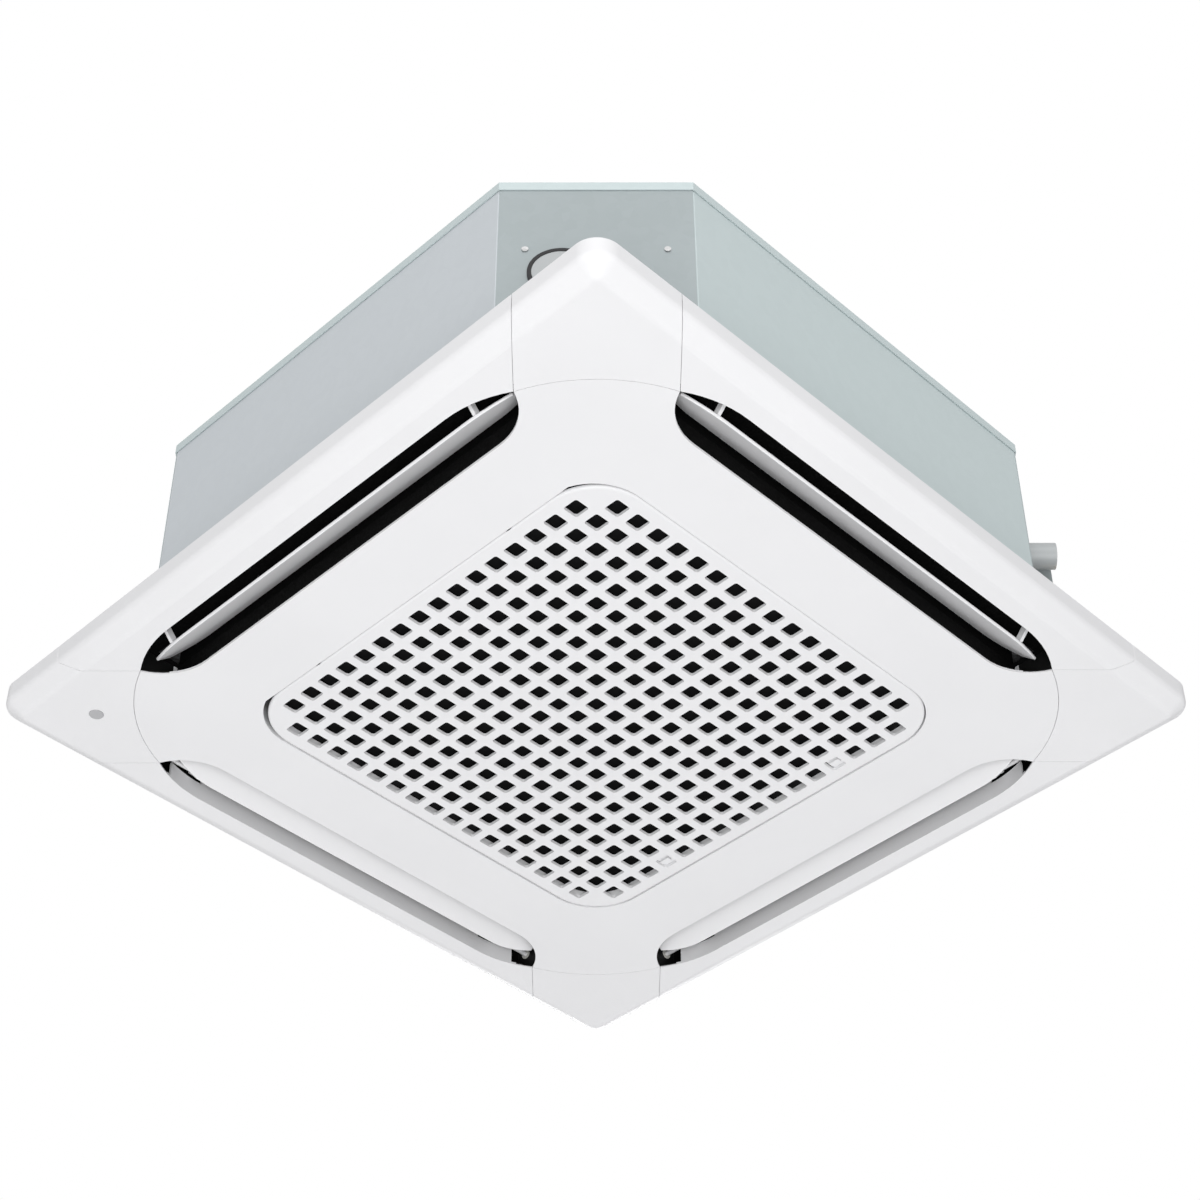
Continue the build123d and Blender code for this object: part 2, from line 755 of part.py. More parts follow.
with BuildPart() as grille_pins:
    for place in (-hinge_place, hinge_place):
        pin_length = lug_width + 2 * lug_side_gap + 2 * knuckle_width
        with BuildSketch(Plane.YZ.offset(place - pin_length / 2)):
            with Locations((-hinge_line, hinge_height)):
                Circle(hinge_pin_radius)
        extrude(amount=pin_length)
save(grille_pins, "grille_pins")

# ---- latches: a slide on the back of the grille with a finger tab in one hole ----
latch_y = hole_pitch * (holes_per_side - 1) / 2
for side, direction in {"left": -1, "right": 1}.items():
    with BuildPart() as latch:
        with BuildSketch(Plane.XY.offset(hinge_height + slip_gap)):
            with Locations((direction * latch_pitch / 2, grille_half - latch_slack - latch_length / 2)):
                Rectangle(latch_width, latch_length)
        extrude(amount=latch_thickness)
        chamfer(latch.edges().group_by(Axis.Y)[-1].group_by(Axis.Z)[-1], latch_thickness / 2)
        with BuildSketch(Plane.XY.offset(hinge_height + slip_gap)):
            with Locations((direction * latch_pitch / 2, latch_y - latch_slack)):
                Rectangle(latch_tab_width, latch_tab_length)
        extrude(amount=-latch_tab_drop)
    save(latch, "latch_" + side)

# ---- air filter: a frame round a sheet of fine mesh ----
with BuildPart() as air_filter:
    filter_side = grille_side - 2 * filter_inset
    with BuildSketch(Plane.XY.offset(hinge_height + filter_rest_height)):
        RectangleRounded(filter_side, filter_side, grille_corner_radius - filter_inset)
    extrude(amount=filter_height)
    with BuildSketch(Plane.XY.offset(hinge_height + filter_rest_height + mesh_thickness)):
        mesh_side = filter_side - 2 * filter_bar
        RectangleRounded(mesh_side, mesh_side, grille_corner_radius - filter_inset - filter_bar)
    extrude(amount=filter_height, mode=Mode.SUBTRACT)
    # stiffening bars across the mesh
    with BuildSketch(Plane.XY.offset(hinge_height + filter_rest_height)):
        with GridLocations(filter_side / filter_gaps, 0, filter_gaps - 1, 1):
            Rectangle(filter_bar, filter_side - filter_bar)
        with GridLocations(0, filter_side / filter_gaps, 1, filter_gaps - 1):
            Rectangle(filter_side - filter_bar, filter_bar)
    extrude(amount=filter_height / 2)
save(air_filter, "air_filter")

# ---- casing: side plates with a lower flange and bent ends behind the corner plates ----
for side, turn in side_turns.items():
    with BuildPart() as side_plate:
        bend_x = flange_distance * root_two - plate_face
        bend = side_flange / root_two
        with BuildSketch(side_plane(turn, casing_bottom)):
            with BuildLine():
                Polyline(
                    (-bend_x - bend, bend - plate_face),
                    (-bend_x, -plate_face),
                    (bend_x, -plate_face),
                    (bend_x + bend, bend - plate_face),
                )
                offset(amount=sheet, side=Side.LEFT)
            make_face()
        extrude(amount=casing_height - sheet - slip_gap)
        with BuildSketch(side_plane(turn, casing_bottom)):
            with Locations((0, side_flange / 2 - plate_face)):
                Rectangle(2 * (bend_x - sheet), side_flange)
        extrude(amount=sheet)
    save(side_plate, "side_plate_" + side)


def corner_sheet(turn):
    # corner plate with a tab outward for the panel screw and a flange inward under the pan
    with BuildPart() as plate:
        with BuildSketch(wall_plane(turn, corner_face_distance)):
            with Locations((0, casing_bottom + (casing_height - sheet - slip_gap) / 2)):
                Rectangle(2 * corner_plate_half, casing_height - sheet - slip_gap)
            with GridLocations(2 * casing_screw_place, 0, 2, 1):
                for height in (casing_screw_low, casing_screw_high):
                    with Locations((0, height)):
                        Circle(casing_screw_radius + screw_gap, mode=Mode.SUBTRACT)
        extrude(amount=-sheet)
        with BuildSketch(Plane.XY.offset(casing_bottom)):
            with Locations(Location((0, 0, 0), (0, 0, turn))):
                with Locations((corner_face_distance + (tab_reach - pan_flange) / 2, 0)):
                    Rectangle(tab_reach + pan_flange, tab_width)
                with Locations((panel_screw_place, 0)):
                    Circle(panel_screw_radius + screw_gap, mode=Mode.SUBTRACT)
        extrude(amount=sheet)
    return plate.part


for corner in ("front_right", "back_left", "front_left"):
    turn = corner_turns[corner]
    with BuildPart() as corner_plate:
        add(corner_sheet(turn))
        if corner == "front_right":
            with BuildSketch(wall_plane(turn, corner_face_distance)):
                with Locations((cap_place, cap_height)):
                    Circle(cap_neck_radius + slip_gap)
            extrude(amount=-sheet, mode=Mode.SUBTRACT)
        if corner == "back_left":
            with BuildSketch(wall_plane(turn, corner_face_distance)):
                with Locations((0, gland_height)):
                    Circle(gland_bore + gland_wall)
            extrude(amount=-sheet, mode=Mode.SUBTRACT)
    save(corner_plate, "corner_plate_" + corner)

# ---- pipe plate: the back right corner plate, with a guard over the pipe ends ----
pipe_turn = corner_turns["back_right"]
with BuildPart() as pipe_plate:
    add(corner_sheet(pipe_turn))
    with BuildSketch(wall_plane(pipe_turn, corner_face_distance)):
        with Locations((gas_place, gas_height)):
            Circle(gas_radius + pipe_hole_gap)
        with Locations((liquid_place, liquid_height)):
            Circle(liquid_radius + pipe_hole_gap)
        with Locations((drain_place, drain_height)):
            Circle(drain_collar_radius + slip_gap)
    extrude(amount=-sheet, mode=Mode.SUBTRACT)
    with BuildSketch(Plane(corner_point(pipe_turn, corner_face_distance, guard_start) + (0,),
                           x_dir=wall_plane(pipe_turn, 0).z_dir,
                           z_dir=-wall_plane(pipe_turn, 0).x_dir)):
        with BuildLine():
            Polyline(
                (0, guard_low),
                (0, guard_high + sheet),
                (guard_top_reach, guard_high),
                (guard_reach, guard_shoulder),
                (guard_reach, guard_low),
                close=True,
            )
        make_face()
    extrude(amount=guard_start - guard_end)
    with BuildSketch(Plane(corner_point(pipe_turn, corner_face_distance, guard_start + sheet) + (0,),
                           x_dir=wall_plane(pipe_turn, 0).z_dir,
                           z_dir=-wall_plane(pipe_turn, 0).x_dir)):
        with BuildLine():
            Polyline(
                (0, guard_low - sheet),
                (0, guard_high),
                (guard_top_reach - sheet / 2, guard_high - sheet),
                (guard_reach - sheet, guard_shoulder - sheet / 2),
                (guard_reach - sheet, guard_low - sheet),
                close=True,
            )
        make_face()
    extrude(amount=guard_start + 2 * sheet - guard_end, mode=Mode.SUBTRACT)
save(pipe_plate, "pipe_plate")

# ---- top plate with a turned-down lip, a raised motor pad and pressed beads ----
with BuildPart() as top_plate:
    with BuildSketch(Plane.XY.offset(casing_top)):
        add(inner_octagon(0))
    extrude(amount=-top_lip)
    with BuildSketch(Plane.XY.offset(top_inside)):
        add(inner_octagon(sheet))
    extrude(amount=-top_lip, mode=Mode.SUBTRACT)
    with BuildSketch(Plane.XY.offset(casing_top)):
        Circle(hub_pad_radius)
        with PolarLocations(bead_start + bead_length / 2, 4):
            SlotOverall(bead_length, bead_width)
        with PolarLocations(bead_start + bead_length / 2, 4, 45):
            SlotOverall(bead_length, bead_width)
    extrude(amount=bead_height, taper=45)
    with BuildSketch(Plane.XY.offset(top_inside)):
        with PolarLocations(bead_start + bead_length / 2, 4):
            SlotOverall(bead_length - 2 * sheet, bead_width - 2 * sheet)
        with PolarLocations(bead_start + bead_length / 2, 4, 45):
            SlotOverall(bead_length - 2 * sheet, bead_width - 2 * sheet)
    extrude(amount=bead_height, taper=45, mode=Mode.SUBTRACT)
save(top_plate, "top_plate")

# ---- casing screws, four in each corner plate ----
with BuildPart() as casing_screws:
    for turn in corner_turns.values():
        for plane_shift, radius, depth in (
            (0, casing_screw_head, casing_screw_cap),
            (0, casing_screw_radius, -sheet),
        ):
            with BuildSketch(wall_plane(turn, corner_face_distance + plane_shift)):
                for height in (casing_screw_low, casing_screw_high):
                    with Locations((-casing_screw_place, height), (casing_screw_place, height)):
                        Circle(radius)
            extrude(amount=depth)
save(casing_screws, "casing_screws")

# ---- hanger brackets: an upright leg on the corner plate and a slotted foot outward ----
with BuildPart() as hanger_brackets:
    for corner, turn in corner_turns.items():
        along = hanger_signs[corner] * (hanger_pitch_x - hanger_pitch_y) / 2 / root_two
        outward = (hanger_pitch_x + hanger_pitch_y) / 2 / root_two
        with BuildSketch(wall_plane(turn, corner_face_distance)):
            with Locations((along, hanger_height + hanger_leg / 2)):
                Rectangle(hanger_width, hanger_leg)
        extrude(amount=hanger_sheet)
        with BuildSketch(Plane.XY.offset(hanger_height)):
            with Locations(Location((0, 0, 0), (0, 0, turn))):
                foot_end = outward + hanger_beyond
                with Locations(((corner_face_distance + foot_end) / 2, along)):
                    Rectangle(foot_end - corner_face_distance, hanger_width)
        extrude(amount=hanger_sheet)
    with BuildSketch(Plane.XY.offset(hanger_height)):
        with GridLocations(hanger_pitch_x, hanger_pitch_y, 2, 2):
            SlotOverall(hanger_slot_length, hanger_slot_width)
    extrude(amount=hanger_sheet, mode=Mode.SUBTRACT)
save(hanger_brackets, "hanger_brackets")

# ---- service cap and its ring gasket ----
cap_wall = wall_plane(corner_turns["front_right"], corner_face_distance)
with BuildPart() as cap_gasket:
    with BuildSketch(cap_wall):
        with Locations((cap_place, cap_height)):
            Circle(cap_radius + gasket_width)
            Circle(cap_radius, mode=Mode.SUBTRACT)
    extrude(amount=gasket_thickness)
    fillet(cap_gasket.edges().filter_by(GeomType.CIRCLE).group_by(Axis((0, 0, 0), cap_wall.z_dir))[-1],
           gasket_width / 4)
save(cap_gasket, "cap_gasket")

with BuildPart() as service_cap:
    with BuildSketch(cap_wall):
        with Locations((cap_place, cap_height)):
            Circle(cap_radius)
    extrude(amount=cap_thickness)
    with BuildSketch(cap_wall):
        with Locations((cap_place, cap_height)):
            Circle(cap_neck_radius)
    extrude(amount=-cap_neck)
save(service_cap, "service_cap")

# ---- cable gland: a bored plug with a collar ----
gland_wall_plane = wall_plane(corner_turns["back_left"], corner_face_distance)
with BuildPart() as cable_gland:
    with BuildSketch(gland_wall_plane.offset(-gland_length)):
        with Locations((0, gland_height)):
            Circle(gland_bore + gland_wall)
            Circle(gland_bore, mode=Mode.SUBTRACT)
    extrude(amount=gland_length)
    with BuildSketch(gland_wall_plane):
        with Locations((0, gland_height)):
            Circle(gland_bore + 2 * gland_wall)
            Circle(gland_bore, mode=Mode.SUBTRACT)
    extrude(amount=gland_collar)
save(cable_gland, "cable_gland")

# ---- drain pan: foam ring with a trough under the coil and a sump at the pipe corner ----
liner_corner = casing_half * root_two - casing_leg / root_two - liner_outset - liner_side
with BuildPart() as drain_pan:
    pan_corner = (liner_corner - slip_gap) * root_two
    with BuildSketch(Plane.XY.offset(flange_top)):
        add(octagon(pan_half, 2 * pan_half - pan_corner))
        RectangleRounded(2 * pan_opening, 2 * pan_opening, bell_corner_radius, mode=Mode.SUBTRACT)
    extrude(amount=pan_top - flange_top)
    with BuildSketch(Plane.XY.offset(pan_ledge_height)):
        ledge_half = pan_opening + pan_ledge
        RectangleRounded(2 * ledge_half, 2 * ledge_half, bell_corner_radius)
    extrude(amount=pan_top, mode=Mode.SUBTRACT)
    with BuildSketch(Plane.XY.offset(pan_floor)):
        trough_outer = coil_half + trough_side
        trough_inner = coil_half - coil_thickness - trough_side
        Rectangle(2 * trough_outer, 2 * trough_outer)
        trough_corner = coil_corner_radius - coil_thickness - trough_side
        RectangleRounded(2 * trough_inner, 2 * trough_inner, trough_corner, mode=Mode.SUBTRACT)
        with Locations(((trough_inner + sump_half) / 2, (trough_inner + sump_half) / 2)):
            Rectangle(sump_half - trough_inner, sump_half - trough_inner)
    extrude(amount=pan_top, mode=Mode.SUBTRACT)
    # ribs that the coil stands on
    for turn in side_turns.values():
        with BuildSketch(side_plane(turn, pan_floor)):
            with Locations((-sump_edge / 2, -(trough_outer + trough_inner) / 2)):
                with GridLocations(sump_edge, 0, 2, 1):
                    Rectangle(pan_rib, trough_outer - trough_inner)
        extrude(amount=rib_height)
save(drain_pan, "drain_pan")

# ---- coil: a finned block bent round three corners, open at the pipe corner ----
coil_top = liner_under - coil_top_gap
with BuildPart() as fin_pack:
    with BuildSketch(Plane.XY.offset(coil_bottom)):
        RectangleRounded(2 * coil_half, 2 * coil_half, coil_corner_radius)
        coil_inner = coil_half - coil_thickness
        RectangleRounded(2 * coil_inner, 2 * coil_inner, coil_corner_radius - coil_thickness, mode=Mode.SUBTRACT)
        with Locations((coil_end + coil_half, coil_end + coil_half)):
            Rectangle(2 * coil_half, 2 * coil_half, mode=Mode.SUBTRACT)
    extrude(amount=coil_top - coil_bottom)
save(fin_pack, "fin_pack")

# ---- coil ends: an end sheet on each end of the fins with its return bends ----
coil_middle = coil_half - coil_thickness / 2
bend_pitch = (coil_top - coil_bottom) / bend_count
with BuildPart() as coil_ends:
    for plane in (
        Plane((coil_end, coil_middle, 0), x_dir=(0, 1, 0), z_dir=(1, 0, 0)),
        Plane((coil_middle, coil_end, 0), x_dir=(-1, 0, 0), z_dir=(0, 1, 0)),
    ):
        with BuildSketch(plane):
            with Locations((0, (coil_top + coil_bottom) / 2)):
                Rectangle(coil_thickness, coil_top - coil_bottom)
        extrude(amount=tube_sheet)
        for number in range(bend_count):
            height = coil_bottom + bend_pitch * (number + 0.5)
            face_plane = plane.offset(tube_sheet)
            with BuildSketch(face_plane):
                with Locations((-bend_radius, height)):
                    Circle(bend_tube_radius)
            axis_point = face_plane.from_local_coords((0, height, 0))
            revolve(axis=Axis(axis_point, (0, 0, 1)), revolution_arc=180)
save(coil_ends, "coil_ends")

# ---- bell mouth: a plate in the pan's opening with a flared throat up to the fan ----
with BuildPart() as bell_mouth:
    with BuildSketch(Plane.XY.offset(bell_under)):
        bell_half = pan_opening + pan_ledge - slip_gap
        RectangleRounded(2 * bell_half, 2 * bell_half, bell_corner_radius - slip_gap)
        Circle(bell_throat_radius + bell_flare, mode=Mode.SUBTRACT)
    extrude(amount=bell_plate)
    with BuildSketch(Plane.XZ):
        with BuildLine():
            throat = bell_throat_radius
            flare = bell_flare
            thick = bell_wall
            Line((throat + flare, bell_under), (throat + flare, bell_under + thick))
            RadiusArc((throat + flare, bell_under + thick), (throat + thick, bell_under + flare), flare - thick)
            Line((throat + thick, bell_under + flare), (throat + thick, bell_tip))
            Line((throat + thick, bell_tip), (throat, bell_tip))
            Line((throat, bell_tip), (throat, bell_under + flare))
            RadiusArc((throat, bell_under + flare), (throat + flare, bell_under), -flare)
        make_face()
    revolve(axis=Axis.Z)
save(bell_mouth, "bell_mouth")

# ---- fan wheel: a cupped hub plate, backward-leaning blades and a shroud with an eye ----
cup_floor = fan_top - fan_cup_depth
with BuildPart() as fan_wheel:
    with BuildSketch(Plane.XZ):
        with BuildLine():
            Polyline(
                (shaft_radius, cup_floor),
                (fan_cup_floor_radius, cup_floor),
                (fan_cup_radius, fan_top),
                (fan_radius, fan_top),
                (fan_radius, fan_top - fan_plate),
                (fan_cup_radius + fan_plate, fan_top - fan_plate),
                (fan_cup_floor_radius + fan_plate, cup_floor - fan_plate),
                (fan_boss_radius, cup_floor - fan_plate),
                (fan_boss_radius, cup_floor - fan_boss_height),
                (shaft_radius, cup_floor - fan_boss_height),
                close=True,
            )
        make_face()
    revolve(axis=Axis.Z)
    with BuildSketch(Plane.XZ):
        with BuildLine():
            Polyline(
                (eye_radius, fan_shroud_inner),
                (fan_radius, fan_shroud_outer),
                (fan_radius, fan_shroud_outer + fan_plate),
                (eye_radius, fan_shroud_inner + fan_plate),
                close=True,
            )
        make_face()
    revolve(axis=Axis.Z)
    lean = math.radians(blade_turn)
    blade_end = (math.cos(lean) * (fan_radius - blade_thickness), -math.sin(lean) * (fan_radius - blade_thickness))
    blade_bow = blade_thickness * 5
    for number in range(blade_count):
        with BuildSketch(side_plane(number * 360 / blade_count, fan_shroud_outer)):
            with BuildLine():
                SagittaArc((blade_inner, 0), blade_end, blade_bow)
                offset(amount=blade_thickness, side=Side.RIGHT)
            make_face()
        extrude(amount=fan_top - fan_plate - fan_shroud_outer)
save(fan_wheel, "fan_wheel")

# ---- fan motor with four ears, bored for its shaft ----
with BuildPart() as fan_motor:
    with BuildSketch(Plane.XY.offset(motor_bottom)):
        Circle(motor_radius)
    extrude(amount=motor_top - motor_bottom)
    fillet(fan_motor.edges().group_by(Axis.Z)[0], motor_flange)
    with BuildSketch(Plane.XY.offset(motor_top)):
        Circle(motor_radius + motor_flange)
        with PolarLocations(motor_ear_place, 4, 45):
            Circle(motor_ear_radius)
        for angle in (45, 135):
            with Locations(Location((0, 0, 0), (0, 0, angle))):
                Rectangle(2 * motor_ear_place, 2 * motor_ear_radius)
    extrude(amount=-motor_flange)
    with BuildSketch(Plane.XY.offset(motor_bottom)):
        Circle(shaft_radius + running_gap)
    extrude(amount=motor_top - motor_bottom - motor_flange, mode=Mode.SUBTRACT)
save(fan_motor, "fan_motor")

with BuildPart() as motor_bushes:
    with BuildSketch(Plane.XY.offset(motor_top)):
        with PolarLocations(motor_ear_place, 4, 45):
            Circle(bush_radius)
    extrude(amount=top_inside - motor_top)
save(motor_bushes, "motor_bushes")

with BuildPart() as motor_shaft:
    with BuildSketch(Plane.XY.offset(shaft_bottom)):
        Circle(shaft_radius)
    extrude(amount=motor_top - motor_flange - slip_gap - shaft_bottom)
save(motor_shaft, "motor_shaft")

with BuildPart() as fan_nut:
    with BuildSketch(Plane.XY.offset(cup_floor - fan_boss_height)):
        RegularPolygon(nut_across / 2, 6, major_radius=False)
        Circle(shaft_radius, mode=Mode.SUBTRACT)
    extrude(amount=-nut_height)
save(fan_nut, "fan_nut")

# ---- refrigerant pipes ----
gas_header_y = coil_middle
gas_header_x = coil_middle - gas_place * root_two
pipe_end = corner_face_distance + pipe_reach
with BuildPart() as gas_pipe:
    with BuildSketch(Plane.XY.offset(header_bottom)):
        with Locations((gas_header_x, gas_header_y)):
            Circle(gas_radius)
    extrude(amount=header_height)
    for height in (header_bottom + gas_radius, header_bottom + header_height - gas_radius):
        with BuildSketch(Plane((coil_end + tube_sheet, gas_header_y, height), z_dir=(1, 0, 0))):
            Circle(bend_tube_radius)
        extrude(amount=gas_header_x - coil_end - tube_sheet)
    header_distance = (gas_header_x + gas_header_y) / root_two
    with BuildSketch(wall_plane(pipe_turn, header_distance)):
        with Locations((gas_place, gas_height)):
            Circle(gas_radius)
    extrude(amount=pipe_end - header_distance)
    with BuildSketch(wall_plane(pipe_turn, pipe_end)):
        with Locations((gas_place, gas_height)):
            Circle(gas_radius - pipe_wall)
    extrude(amount=-pipe_reach, mode=Mode.SUBTRACT)
save(gas_pipe, "gas_pipe")

with BuildPart() as liquid_pipe:
    turn_point = corner_point(pipe_turn, 0, liquid_place)
    start_x = coil_end + tube_sheet
    start_y = coil_half - bend_tube_radius - liquid_radius
    run_x = start_x + 3 * liquid_radius
    corner_y = run_x + turn_point[1] - turn_point[0]
    end_point = corner_point(pipe_turn, pipe_end, liquid_place)
    with BuildLine() as liquid_route:
        FilletPolyline(
            (start_x, start_y, liquid_height),
            (run_x, start_y, liquid_height),
            (run_x, corner_y, liquid_height),
            (end_point[0], end_point[1], liquid_height),
            radius=1.6 * liquid_radius,
        )
    with BuildSketch(Plane((start_x, start_y, liquid_height), z_dir=(1, 0, 0))):
        Circle(liquid_radius)
    sweep(path=liquid_route.line)
    with BuildSketch(wall_plane(pipe_turn, pipe_end)):
        with Locations((liquid_place, liquid_height)):
            Circle(liquid_radius - pipe_wall)
    extrude(amount=-pipe_reach, mode=Mode.SUBTRACT)
save(liquid_pipe, "liquid_pipe")

with BuildPart() as flare_nuts:
    for place, height, radius, across, length in (
        (gas_place, gas_height, gas_radius, gas_nut_across, gas_nut_length),
        (liquid_place, liquid_height, liquid_radius, liquid_nut_across, liquid_nut_length),
    ):
        with BuildSketch(wall_plane(pipe_turn, pipe_end)):
            with Locations((place, height)):
                RegularPolygon(across / 2, 6, major_radius=False)
                Circle(radius, mode=Mode.SUBTRACT)
        extrude(amount=-length)
save(flare_nuts, "flare_nuts")

# ---- drain pump: a volute standing in the sump, its motor above it on a neck ----
pump_x, pump_y = corner_point(pipe_turn, pump_distance, drain_place)
with BuildPart() as drain_pump:
    with BuildSketch(Plane.XY.offset(pan_floor)):
        with Locations((pump_x, pump_y)):
            Circle(volute_radius)
    extrude(amount=volute_height)
    with BuildSketch(Plane.XY.offset(pan_floor + volute_height)):
        with Locations((pump_x, pump_y)):
            Circle(volute_radius / 2)
    extrude(amount=pump_motor_bottom - pan_floor - volute_height)
    with BuildSketch(Plane.XY.offset(pump_motor_bottom)):
        with Locations((pump_x, pump_y)):
            Circle(pump_motor_radius)
    extrude(amount=pump_motor_top - pump_motor_bottom)
    # hollow of the volute, its inlets at the foot, and the bore for the impeller's shaft
    with BuildSketch(Plane.XY.offset(pan_floor)):
        with Locations((pump_x, pump_y)):
            Circle(volute_radius - volute_wall)
    extrude(amount=volute_height - volute_wall, mode=Mode.SUBTRACT)
    with BuildSketch(Plane.XY.offset(pan_floor)):
        with Locations((pump_x, pump_y)):
            Rectangle(2 * volute_radius, volute_radius / 2)
            Rectangle(volute_radius / 2, 2 * volute_radius)
    extrude(amount=impeller_lift, mode=Mode.SUBTRACT)
    with BuildSketch(Plane.XY.offset(pan_floor)):
        with Locations((pump_x, pump_y)):
            Circle(pump_shaft_radius + running_gap)
    extrude(amount=pump_motor_top - pan_floor - volute_wall, mode=Mode.SUBTRACT)
save(drain_pump, "drain_pump")

with BuildPart() as pump_impeller:
    with BuildSketch(Plane.XY.offset(pan_floor + impeller_lift)):
        with Locations((pump_x, pump_y)):
            blade_span = 2 * (volute_radius - volute_wall - impeller_gap)
            Rectangle(blade_span, impeller_blade)
            Rectangle(impeller_blade, blade_span)
            Circle(2 * pump_shaft_radius)
    extrude(amount=impeller_height)
    with BuildSketch(Plane.XY.offset(pan_floor + impeller_lift)):
        with Locations((pump_x, pump_y)):
            Circle(pump_shaft_radius)
    extrude(amount=pump_motor_top - pan_floor - impeller_lift - 2 * volute_wall)
save(pump_impeller, "pump_impeller")

# ---- drain tube: up from the volute and out through the pipe plate ----
tube_height = pan_floor + volute_height / 2
riser = pump_distance + volute_radius + riser_run
port_start = corner_face_distance - sheet - drain_flange
with BuildPart() as drain_tube:
    first = corner_point(pipe_turn, pump_distance + volute_radius, drain_place)
    second = corner_point(pipe_turn, riser, drain_place)
    last = corner_point(pipe_turn, port_start, drain_place)
    with BuildLine() as tube_route:
        FilletPolyline(
            (first[0], first[1], tube_height),
            (second[0], second[1], tube_height),
            (second[0], second[1], drain_height),
            (last[0], last[1], drain_height),
            radius=drain_bend_radius,
        )
    with BuildSketch(Plane(tube_route.line @ 0, z_dir=tube_route.line % 0)):
        Circle(drain_tube_radius)
        Circle(drain_tube_radius - drain_tube_wall, mode=Mode.SUBTRACT)
    sweep(path=tube_route.line)
    with BuildSketch(wall_plane(pipe_turn, port_start)):
        with Locations((drain_place, drain_height)):
            Circle(drain_flange_radius)
            Circle(drain_tube_radius - drain_tube_wall, mode=Mode.SUBTRACT)
    extrude(amount=drain_flange)
    with BuildSketch(wall_plane(pipe_turn, corner_face_distance - sheet)):
        with Locations((drain_place, drain_height)):
            Circle(drain_collar_radius)
            Circle(drain_bore_radius, mode=Mode.SUBTRACT)
    extrude(amount=drain_collar + sheet)
    with BuildSketch(wall_plane(pipe_turn, corner_face_distance + drain_collar)):
        with Locations((drain_place, drain_height)):
            Circle(drain_port_radius)
            Circle(drain_bore_radius, mode=Mode.SUBTRACT)
    extrude(amount=drain_reach)
save(drain_tube, "drain_tube")

# ---- float switch: a foot and stem in the sump, with a ring float that rises on it ----
with BuildPart() as float_switch:
    with BuildSketch(Plane.XY.offset(pan_floor)):
        with Locations((float_x, float_y)):
            Circle(float_foot_radius)
    extrude(amount=float_foot)
    with BuildSketch(Plane.XY.offset(pan_floor)):
        with Locations((float_x, float_y)):
            Circle(float_stem_radius)
    extrude(amount=float_stem_height)
    with BuildSketch(Plane.XY.offset(pan_floor + float_stem_height)):
        with Locations((float_x, float_y)):
            Circle(float_foot_radius)
    extrude(amount=-2 * float_foot)
save(float_switch, "float_switch")

with BuildPart() as float_ring:
    with BuildSketch(Plane.XY.offset(pan_floor + float_foot + slip_gap)):
        with Locations((float_x, float_y)):
            Circle(float_radius)
            Circle(float_stem_radius + slip_gap, mode=Mode.SUBTRACT)
    extrude(amount=float_height)
save(float_ring, "float_ring")

# ---- foam liner: sides and top in one moulding, open for the motor and the pipes ----
with BuildPart() as foam_liner:
    with BuildSketch(Plane.XY.offset(casing_bottom + liner_lift)):
        add(inner_octagon(liner_outset))
    extrude(amount=top_inside - slip_gap - casing_bottom - liner_lift)
    with BuildSketch(Plane.XY.offset(casing_bottom)):
        add(inner_octagon(liner_outset + liner_side))
    extrude(amount=liner_under - casing_bottom, mode=Mode.SUBTRACT)
    with BuildSketch(Plane.XY.offset(casing_bottom)):
        Circle(motor_window_radius)
    extrude(amount=casing_top, mode=Mode.SUBTRACT)
    with BuildSketch(wall_plane(pipe_turn, pump_distance)):
        with Locations((gas_place, gas_height)):
            Circle(gas_radius + pipe_hole_gap)
        with Locations((liquid_place, liquid_height)):
            Circle(liquid_radius + pipe_hole_gap)
        with Locations((drain_place, drain_height)):
            Circle(drain_flange_radius + slip_gap)
    extrude(amount=casing_side, mode=Mode.SUBTRACT)
    with BuildSketch(wall_plane(corner_turns["front_right"], pump_distance)):
        with Locations((cap_place, cap_height)):
            Circle(cap_neck_radius + slip_gap)
    extrude(amount=casing_side, mode=Mode.SUBTRACT)
    with BuildSketch(wall_plane(corner_turns["back_left"], pump_distance)):
        with Locations((0, gland_height)):
            Circle(gland_bore + gland_wall + slip_gap)
    extrude(amount=casing_side, mode=Mode.SUBTRACT)
save(foam_liner, "foam_liner")

# ---- control box under the bell mouth plate, with its cover, board and terminals ----
box_middle = box_outer - box_width / 2
box_bottom = bell_under - box_depth
board_bottom = bell_under - box_wall - board_drop
with BuildPart() as control_box:
    with BuildSketch(Plane.XY.offset(bell_under)):
        with Locations((-box_middle, 0)):
            Rectangle(box_width, box_length)
    extrude(amount=-box_depth)
    with BuildSketch(Plane.XY.offset(bell_under - box_wall)):
        with Locations((-box_middle, 0)):
            Rectangle(box_width - 2 * box_wall, box_length - 2 * box_wall)
    extrude(amount=-box_depth, mode=Mode.SUBTRACT)
    with BuildSketch(Plane.XY.offset(bell_under)):
        with Locations((-box_middle, 0)):
            with GridLocations(box_width - 4 * post_radius, box_length - 4 * post_radius, 2, 2):
                Circle(post_radius)
    extrude(amount=-box_wall - board_drop + board_thickness)
save(control_box, "control_box")

with BuildPart() as control_cover:
    with BuildSketch(Plane.XY.offset(box_bottom)):
        with Locations((-box_middle, 0)):
            Rectangle(box_width + 2 * box_wall, box_length + 2 * box_wall)
    extrude(amount=-box_wall)
save(control_cover, "control_cover")

with BuildPart() as circuit_board:
    with BuildSketch(Plane.XY.offset(board_bottom)):
        with Locations((-box_middle, 0)):
            Rectangle(box_width - 4 * box_wall, box_length - 4 * box_wall)
    extrude(amount=board_thickness)
save(circuit_board, "circuit_board")

